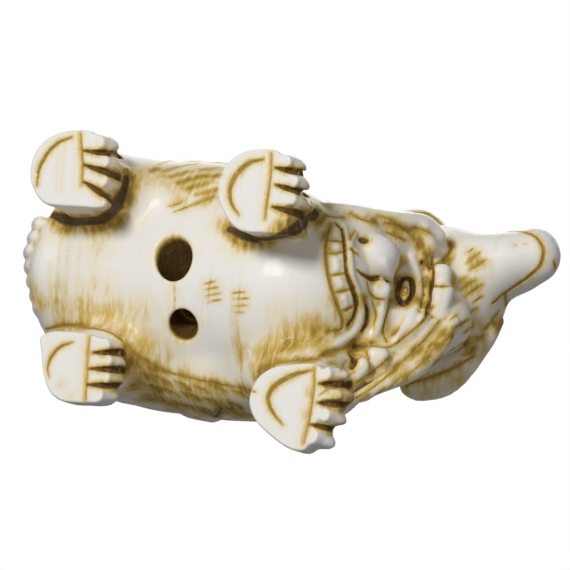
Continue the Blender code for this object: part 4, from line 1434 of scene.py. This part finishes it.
@dataclass(frozen=True)
class IvoryFinish:
    """Old polished ivory: warm white, ochre where tea and hands have coloured it, brown in the cuts, with
    painted shadow and painted shade darkening it where the figure's own shade falls.

    A shade is how strong the colouring is, and the colour there. Streak, growth and speck are waves a metre
    along each axis, and worn_roughness is what full colouring adds to the roughness.
    """

    shades: tuple[tuple[float, tuple[float, float, float, float]], ...] = (
        (0.0, (0.88, 0.855, 0.81, 1.0)),
        (0.16, (0.86, 0.78, 0.60, 1.0)),
        (0.36, (0.68, 0.49, 0.14, 1.0)),
        (0.56, (0.41, 0.255, 0.03, 1.0)),
        (0.78, (0.17, 0.085, 0.012, 1.0)),
        (1.0, (0.055, 0.028, 0.006, 1.0)),
    )
    streak: tuple[float, float, float] = (2300.0, 620.0, 620.0)
    growth: tuple[float, float, float] = (1900.0, 110.0, 110.0)
    speck: tuple[float, float, float] = (3200.0, 3200.0, 3200.0)
    roughness: float = 0.5
    worn_roughness: float = 0.25
    bump_depth: float = 0.00005
    tea_and_shade_strength: float = 0.52

    def material(self) -> bpy.types.Material:
        """Builds the material from the skin's own attributes and Object coordinates.

        Tea_and_shade, ink_and_shade and recess_dirt_and_shade are how strongly handling, dirt in the cuts and
        dirt in hollows colour the skin, and each also carries painted shade: painted shadow behind the paws,
        painted shade in the bores, in crowded hollows and on the lower flanks.
        The strongest of the three picks the shade, with the tusk's growth lines added.

        Returns:
            The material.
        """
        material = bpy.data.materials.new("ivory_finish")
        material.use_nodes = True
        tree = material.node_tree
        shader = tree.nodes["Principled BSDF"]
        streaks = self.noise(tree, self.streak, 5.0)
        growth = self.noise(tree, self.growth, 3.0)
        specks = self.noise(tree, self.speck, 2.0)
        streaked = self.ramp(tree, streaks, 0.32, 0.6, 0.62, 1.05)
        specked = self.ramp(tree, specks, 0.15, 0.55, 0.72, 1.0)
        smeared = self.ramp(tree, streaks, 0.25, 0.6, 0.7, 1.0)
        lines = self.ramp(tree, growth, 0.53, 0.78, 0.0, 0.12)
        # The three attributes below carry real staining and dirt and also painted shade: painted shadow
        # behind the paws, painted shade in the bores, crowded hollows, lower flanks and the young animal's
        # lower side.
        tea_and_shade = self.math(tree, "MULTIPLY", self.read(tree, "tea_and_shade"), streaked)
        ink_and_shade = self.math(tree, "MULTIPLY", self.read(tree, "ink_and_shade"), specked)
        recess_dirt_and_shade = self.math(tree, "MULTIPLY", self.read(tree, "recess_dirt_and_shade"), smeared)
        colouring = self.math(tree, "MAXIMUM", self.math(tree, "MULTIPLY", tea_and_shade, self.tea_and_shade_strength), ink_and_shade)
        colouring = self.math(tree, "MAXIMUM", colouring, recess_dirt_and_shade)
        colouring = self.math(tree, "ADD", colouring, lines)
        shade = tree.nodes.new("ShaderNodeValToRGB")
        self.fill(shade.color_ramp)
        tree.links.new(colouring, shade.inputs["Fac"])
        tree.links.new(shade.outputs["Color"], shader.inputs["Base Color"])
        tree.links.new(
            self.ramp(tree, colouring, 0.2, 0.9, self.roughness, self.roughness + self.worn_roughness),
            shader.inputs["Roughness"],
        )
        bump = tree.nodes.new("ShaderNodeBump")
        bump.inputs["Strength"].default_value = 0.2
        bump.inputs["Distance"].default_value = self.bump_depth
        tree.links.new(streaks, bump.inputs["Height"])
        tree.links.new(bump.outputs["Normal"], shader.inputs["Normal"])
        shader.inputs["Subsurface Weight"].default_value = 0.12
        shader.inputs["Subsurface Radius"].default_value = (1.0, 0.6, 0.35)
        shader.inputs["Subsurface Scale"].default_value = 0.0005
        shader.inputs["IOR"].default_value = 1.54
        shader.inputs["Specular IOR Level"].default_value = 0.35
        shader.inputs["Coat Weight"].default_value = 0.12
        shader.inputs["Coat Roughness"].default_value = 0.07
        return material

    def fill(self, ramp: bpy.types.ColorRamp) -> None:
        """Gives a ramp one stop for each shade.

        Args:
            ramp: The ramp.
        """
        while len(ramp.elements) < len(self.shades):
            ramp.elements.new(0.5)
        for stop, (place, colour) in zip(ramp.elements, self.shades):
            stop.position = place
            stop.color = colour

    def read(self, tree: bpy.types.NodeTree, name: str) -> Socket:
        """A value that the skin holds.

        Args:
            tree: The material's nodes.
            name: The attribute's name.

        Returns:
            The value.
        """
        node = tree.nodes.new("ShaderNodeAttribute")
        node.attribute_name = name
        return node.outputs["Fac"]

    def ramp(
        self, tree: bpy.types.NodeTree, value: Socket, low: float, high: float, start: float, end: float
    ) -> Socket:
        """A smooth step of a value.

        Args:
            tree: The material's nodes.
            value: What is stepped.
            low: Where the step starts.
            high: Where it ends.
            start: What comes out below it.
            end: What comes out above it.

        Returns:
            The stepped value.
        """
        node = tree.nodes.new("ShaderNodeMapRange")
        node.interpolation_type = "SMOOTHSTEP"
        for name, number in (("From Min", low), ("From Max", high), ("To Min", start), ("To Max", end)):
            node.inputs[name].default_value = number
        tree.links.new(value, node.inputs["Value"])
        return node.outputs["Result"]

    def math(self, tree: bpy.types.NodeTree, kind: str, first: Socket, second: Socket | float) -> Socket:
        """One sum of two values.

        Args:
            tree: The material's nodes.
            kind: The node's operation.
            first: A value.
            second: A value or a number.

        Returns:
            The result.
        """
        node = tree.nodes.new("ShaderNodeMath")
        node.operation = kind
        tree.links.new(first, node.inputs[0])
        if isinstance(second, float):
            node.inputs[1].default_value = second
        else:
            tree.links.new(second, node.inputs[1])
        return node.outputs["Value"]

    def noise(self, tree: bpy.types.NodeTree, scale: tuple[float, float, float], detail: float) -> Socket:
        """Noise on the figure's own coordinates.

        Args:
            tree: The material's nodes.
            scale: How many waves it has a metre along each axis.
            detail: How many finer noises are in it.

        Returns:
            The noise, near a half on average.
        """
        places = tree.nodes.new("ShaderNodeTexCoord")
        mapping = tree.nodes.new("ShaderNodeMapping")
        mapping.inputs["Scale"].default_value = scale
        tree.links.new(places.outputs["Object"], mapping.inputs["Vector"])
        node = tree.nodes.new("ShaderNodeTexNoise")
        node.inputs["Scale"].default_value = 1.0
        node.inputs["Detail"].default_value = detail
        node.inputs["Roughness"].default_value = 0.6
        tree.links.new(mapping.outputs["Vector"], node.inputs["Vector"])
        return node.outputs["Fac"]


@dataclass
class Figure:
    """The whole carving: its clay, its skin and what colours it."""

    step: float
    trunk: Trunk = field(default_factory=Trunk)
    head: LionHead = field(default_factory=LionHead)
    pup: Pup = field(default_factory=Pup)
    tail: Tail = field(default_factory=Tail)
    belly: Belly = field(default_factory=Belly)
    hidden: HiddenSides = field(default_factory=HiddenSides)

    def sculpt(self) -> Clay:
        """Builds up the masses, then cuts them.

        Returns:
            The finished clay.
        """
        clay = Clay(self.step)
        self.trunk.model(clay)
        for paw in PAWS:
            paw.model(clay)
            logging.info("%s paw melted in", paw.name)
        self.head.model(clay)
        self.pup.model(clay)
        self.tail.model(clay)
        clay.flatten(0.0)
        for paw in PAWS:
            paw.cut(clay)
        self.head.cut(clay)
        self.pup.cut(clay)
        self.belly.cut(clay)
        self.hidden.cut(clay)
        return clay

    def stains_and_shade(self, clay: Clay, places: Array) -> Array:
        """How strongly each place is coloured, by real staining at some spots and by painted shade and shadow
        at others: the largest of strength times exp(-1.4 away^2 / reach^2).

        Args:
            clay: The clay.
            places: Places on the skin, one a row.

        Returns:
            One value a place.
        """
        middles = clay.seen([(s.across, s.down) for s in STAINS_AND_SHADE])
        total = np.zeros(len(places))
        for middle, tint in zip(middles, STAINS_AND_SHADE):
            reach = tint.reach * SIGHT.width / PICTURE_STEPS
            away = ((places - middle) ** 2).sum(axis=1) / reach**2
            total = np.maximum(total, tint.strength * np.exp(-1.4 * away))
        return total

    def build(self, finish: IvoryFinish) -> bpy.types.Object:
        """Makes the finished piece.

        Args:
            finish: The ivory's finish.

        Returns:
            The figure's object.
        """
        clay = self.sculpt()
        points, quads = clay.skin()
        mesh = self.thinned(clay, points, quads)
        flat = np.empty(len(mesh.vertices) * 3, np.float32)
        mesh.vertices.foreach_get("co", flat)
        places = flat.reshape(-1, 3).astype(float)
        self.colour(mesh, clay, places)
        mesh.vertices.foreach_set("co", ((places - ORIGIN) * UNIT).astype(np.float32).ravel())
        mesh.update()
        mesh.shade_smooth()
        mesh.normals_split_custom_set(self.normals(mesh, clay, places).tolist())
        mesh.materials.append(finish.material())
        piece = bpy.data.objects.new("carved_figure", mesh)
        bpy.context.scene.collection.objects.link(piece)
        logging.info("carved_figure: %d quads read, %d triangles kept", len(quads), len(mesh.polygons))
        return piece

    def thinned(self, clay: Clay, points: Array, quads: Array) -> bpy.types.Mesh:
        """The skin as triangles, fewer where it is plain and as read off where it is cut.

        Args:
            clay: The clay.
            points: The skin's points.
            quads: Its faces, four point numbers a row.

        Returns:
            The thinned mesh.
        """
        raw = bpy.data.meshes.new("raw_skin")
        raw.vertices.add(len(points))
        raw.vertices.foreach_set("co", points.astype(np.float32).ravel())
        raw.loops.add(quads.size)
        raw.loops.foreach_set("vertex_index", quads.astype(np.int32).ravel())
        raw.polygons.add(len(quads))
        raw.polygons.foreach_set("loop_start", np.arange(0, quads.size, 4, dtype=np.int32))
        raw.update(calc_edges=True)
        holder = bpy.data.objects.new("raw_skin", raw)
        bpy.context.scene.collection.objects.link(holder)
        plain = holder.vertex_groups.new(name="plain")
        cut = clay.sample(clay.ink_and_shade, points)
        cut = np.maximum(cut * 1.6, clay.sample(clay.tea_and_shade, points) * 0.5)
        levels = np.clip(np.round((1 - cut) * THIN_LEVELS), 1, THIN_LEVELS).astype(int)
        levels[points[:, 2] < SOLE_KEPT] = 0
        for level in range(1, THIN_LEVELS + 1):
            plain.add(np.flatnonzero(levels == level).tolist(), level / THIN_LEVELS, "REPLACE")
        holder.modifiers.new("triangles", "TRIANGULATE")
        thin = holder.modifiers.new("thin", "DECIMATE")
        thin.ratio = min(1.0, MOST_TRIANGLES / (2 * len(quads)))
        thin.vertex_group = plain.name
        thin.vertex_group_factor = 1.0
        graph = bpy.context.evaluated_depsgraph_get()
        mesh = bpy.data.meshes.new_from_object(holder.evaluated_get(graph))
        bpy.data.objects.remove(holder, do_unlink=True)
        bpy.data.meshes.remove(raw)
        mesh.name = "carved_figure"
        return mesh

    def normals(self, mesh: bpy.types.Mesh, clay: Clay, places: Array) -> Array:
        """Which way the skin faces at each corner: out of the clay, and straight down on the soles.

        Args:
            mesh: The skin.
            clay: The clay.
            places: The skin's points in units.

        Returns:
            Vectors of length one, one a corner.
        """
        corners = np.empty(len(mesh.loops), np.int32)
        mesh.loops.foreach_get("vertex_index", corners)
        ways = clay.slope(places)[corners]
        sole = (places[corners, 2] < SOLE_SKIN).reshape(-1, 3).all(axis=1)
        ways[np.repeat(sole, 3)] = (0.0, 0.0, -1.0)
        return ways

    def colour(self, mesh: bpy.types.Mesh, clay: Clay, places: Array) -> None:
        """Stores recess_dirt_and_shade, ink_and_shade and tea_and_shade on the skin, one value a point; each
        holds real dirt and staining together with painted shade.

        Args:
            mesh: The skin.
            clay: The clay.
            places: The skin's points in units.
        """
        # How crowded the clay is round each point darkens hollows and crevices: partly the patina that
        # gathers there, partly painted shade.
        fine = clay.sample(clay.crowding(0.4), places) - 0.5
        broad = clay.sample(clay.crowding(1.5), places) - 0.5
        hollow_dirt_and_shade = np.clip(fine * 2.6 - 0.02, 0, 1) + np.clip(broad - 0.1, 0, None) * 2.6
        # Listed spots of real staining, and of painted shadow by the paws and painted shade on the lower
        # flanks.
        stained_and_shaded = self.stains_and_shade(clay, places)
        values = {
            "recess_dirt_and_shade": np.clip(hollow_dirt_and_shade, 0, 0.95),
            "ink_and_shade": np.clip(clay.sample(clay.ink_and_shade, places), 0, 1),
            "tea_and_shade": np.clip(clay.sample(clay.tea_and_shade, places) * 0.75 + stained_and_shaded + hollow_dirt_and_shade * 0.4, 0, 1.15),
        }
        for name, value in values.items():
            layer = mesh.attributes.new(name, "FLOAT", "POINT")
            layer.data.foreach_set("value", value.astype(np.float32))


@dataclass(frozen=True)
class Lamp:
    """A soft square light: where it stands as shares of the far distance, its side in metres, its watts."""

    name: str
    place: Array
    size: float
    power: float

    def hang(self, far: float) -> None:
        """Hangs the light, aimed at the figure's middle.

        Args:
            far: The far distance in units.
        """
        data = bpy.data.lights.new(self.name, "AREA")
        data.size = self.size
        data.energy = self.power
        lamp = bpy.data.objects.new(self.name, data)
        lamp.location = Vector((self.place * far - ORIGIN) * UNIT)
        aim = Vector(LAMP_AIM) - lamp.location
        lamp.rotation_euler = aim.to_track_quat("-Z", "Y").to_euler()
        bpy.context.scene.collection.objects.link(lamp)


LAMPS = (
    Lamp("key", SIGHT.back * 0.95 - SIGHT.down * 0.55 - SIGHT.right * 0.45, 0.11, 1.26),
    Lamp("fill", SIGHT.back * 0.6 + SIGHT.right * 0.9 - SIGHT.down * 0.1, 0.25, 0.10),
    Lamp("top", np.array((-0.3, -0.5, 1.0)), 0.3, 0.95),
)


@dataclass
class Studio:
    """The pale floor, the soft lights, the white surround and the camera.

    World is how strongly the surround lights the figure, backdrop is how bright the camera sees it, and
    sensor is the width of the camera's sensor in millimetres.
    """

    floor_half: float = 0.6
    lamp_distance: float = 0.35
    world: float = 0.19
    backdrop: float = 1.0
    sensor: float = 36.0

    def floor(self) -> bpy.types.Object:
        """A pale floor that shows from above and lets the sight through from below.

        Returns:
            The floor's object.
        """
        mesh = bpy.data.meshes.new("pale_floor")
        h = self.floor_half
        mesh.from_pydata([(-h, -h, 0), (h, -h, 0), (h, h, 0), (-h, h, 0)], [], [(0, 1, 2, 3)])
        material = bpy.data.materials.new("pale_floor_paint")
        material.use_nodes = True
        nodes, links = material.node_tree.nodes, material.node_tree.links
        shader = nodes["Principled BSDF"]
        shader.inputs["Base Color"].default_value = (0.8, 0.8, 0.79, 1.0)
        shader.inputs["Roughness"].default_value = 0.7
        side = nodes.new("ShaderNodeNewGeometry")
        clear = nodes.new("ShaderNodeBsdfTransparent")
        pick = nodes.new("ShaderNodeMixShader")
        links.new(side.outputs["Backfacing"], pick.inputs["Fac"])
        links.new(shader.outputs["BSDF"], pick.inputs[1])
        links.new(clear.outputs["BSDF"], pick.inputs[2])
        links.new(pick.outputs["Shader"], nodes["Material Output"].inputs["Surface"])
        mesh.materials.append(material)
        floor = bpy.data.objects.new("pale_floor", mesh)
        floor.visible_shadow = False
        floor.visible_diffuse = False
        bpy.context.scene.collection.objects.link(floor)
        return floor

    def surround(self) -> None:
        """An even white surround."""
        world = bpy.data.worlds.new("white_surround")
        world.use_nodes = True
        nodes, links = world.node_tree.nodes, world.node_tree.links
        shade = nodes["Background"]
        shade.inputs["Color"].default_value = (1.0, 1.0, 1.0, 1.0)
        path = nodes.new("ShaderNodeLightPath")
        level = nodes.new("ShaderNodeMapRange")
        level.inputs["To Min"].default_value = self.world
        level.inputs["To Max"].default_value = self.backdrop
        links.new(path.outputs["Is Camera Ray"], level.inputs["Value"])
        links.new(level.outputs["Result"], shade.inputs["Strength"])
        bpy.context.scene.world = world

    def camera(self) -> None:
        """The camera on the photograph's line of sight."""
        data = bpy.data.cameras.new("photo_camera")
        data.sensor_width = self.sensor
        data.lens = self.sensor * SIGHT.distance / SIGHT.width
        data.clip_start = 0.01
        camera = bpy.data.objects.new("photo_camera", data)
        turn = Matrix((SIGHT.right, -SIGHT.down, SIGHT.back)).transposed().to_4x4()
        camera.matrix_world = Matrix.Translation(Vector((SIGHT.eye() - ORIGIN) * UNIT)) @ turn
        bpy.context.scene.collection.objects.link(camera)
        bpy.context.scene.camera = camera

    def build(self) -> None:
        """Sets the stage."""
        self.floor()
        self.surround()
        self.camera()
        for lamp in LAMPS:
            lamp.hang(self.lamp_distance / UNIT)
        bpy.context.scene.view_settings.view_transform = "Standard"


def main() -> None:
    """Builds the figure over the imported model, then the studio round it."""
    logging.basicConfig(level=logging.INFO, format="%(message)s")
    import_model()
    piece = Figure(CLAY_STEP).build(IvoryFinish())
    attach(piece, "root")
    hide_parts("netsuke_figure")
    Studio().build()


if __name__ == "__main__":
    main()
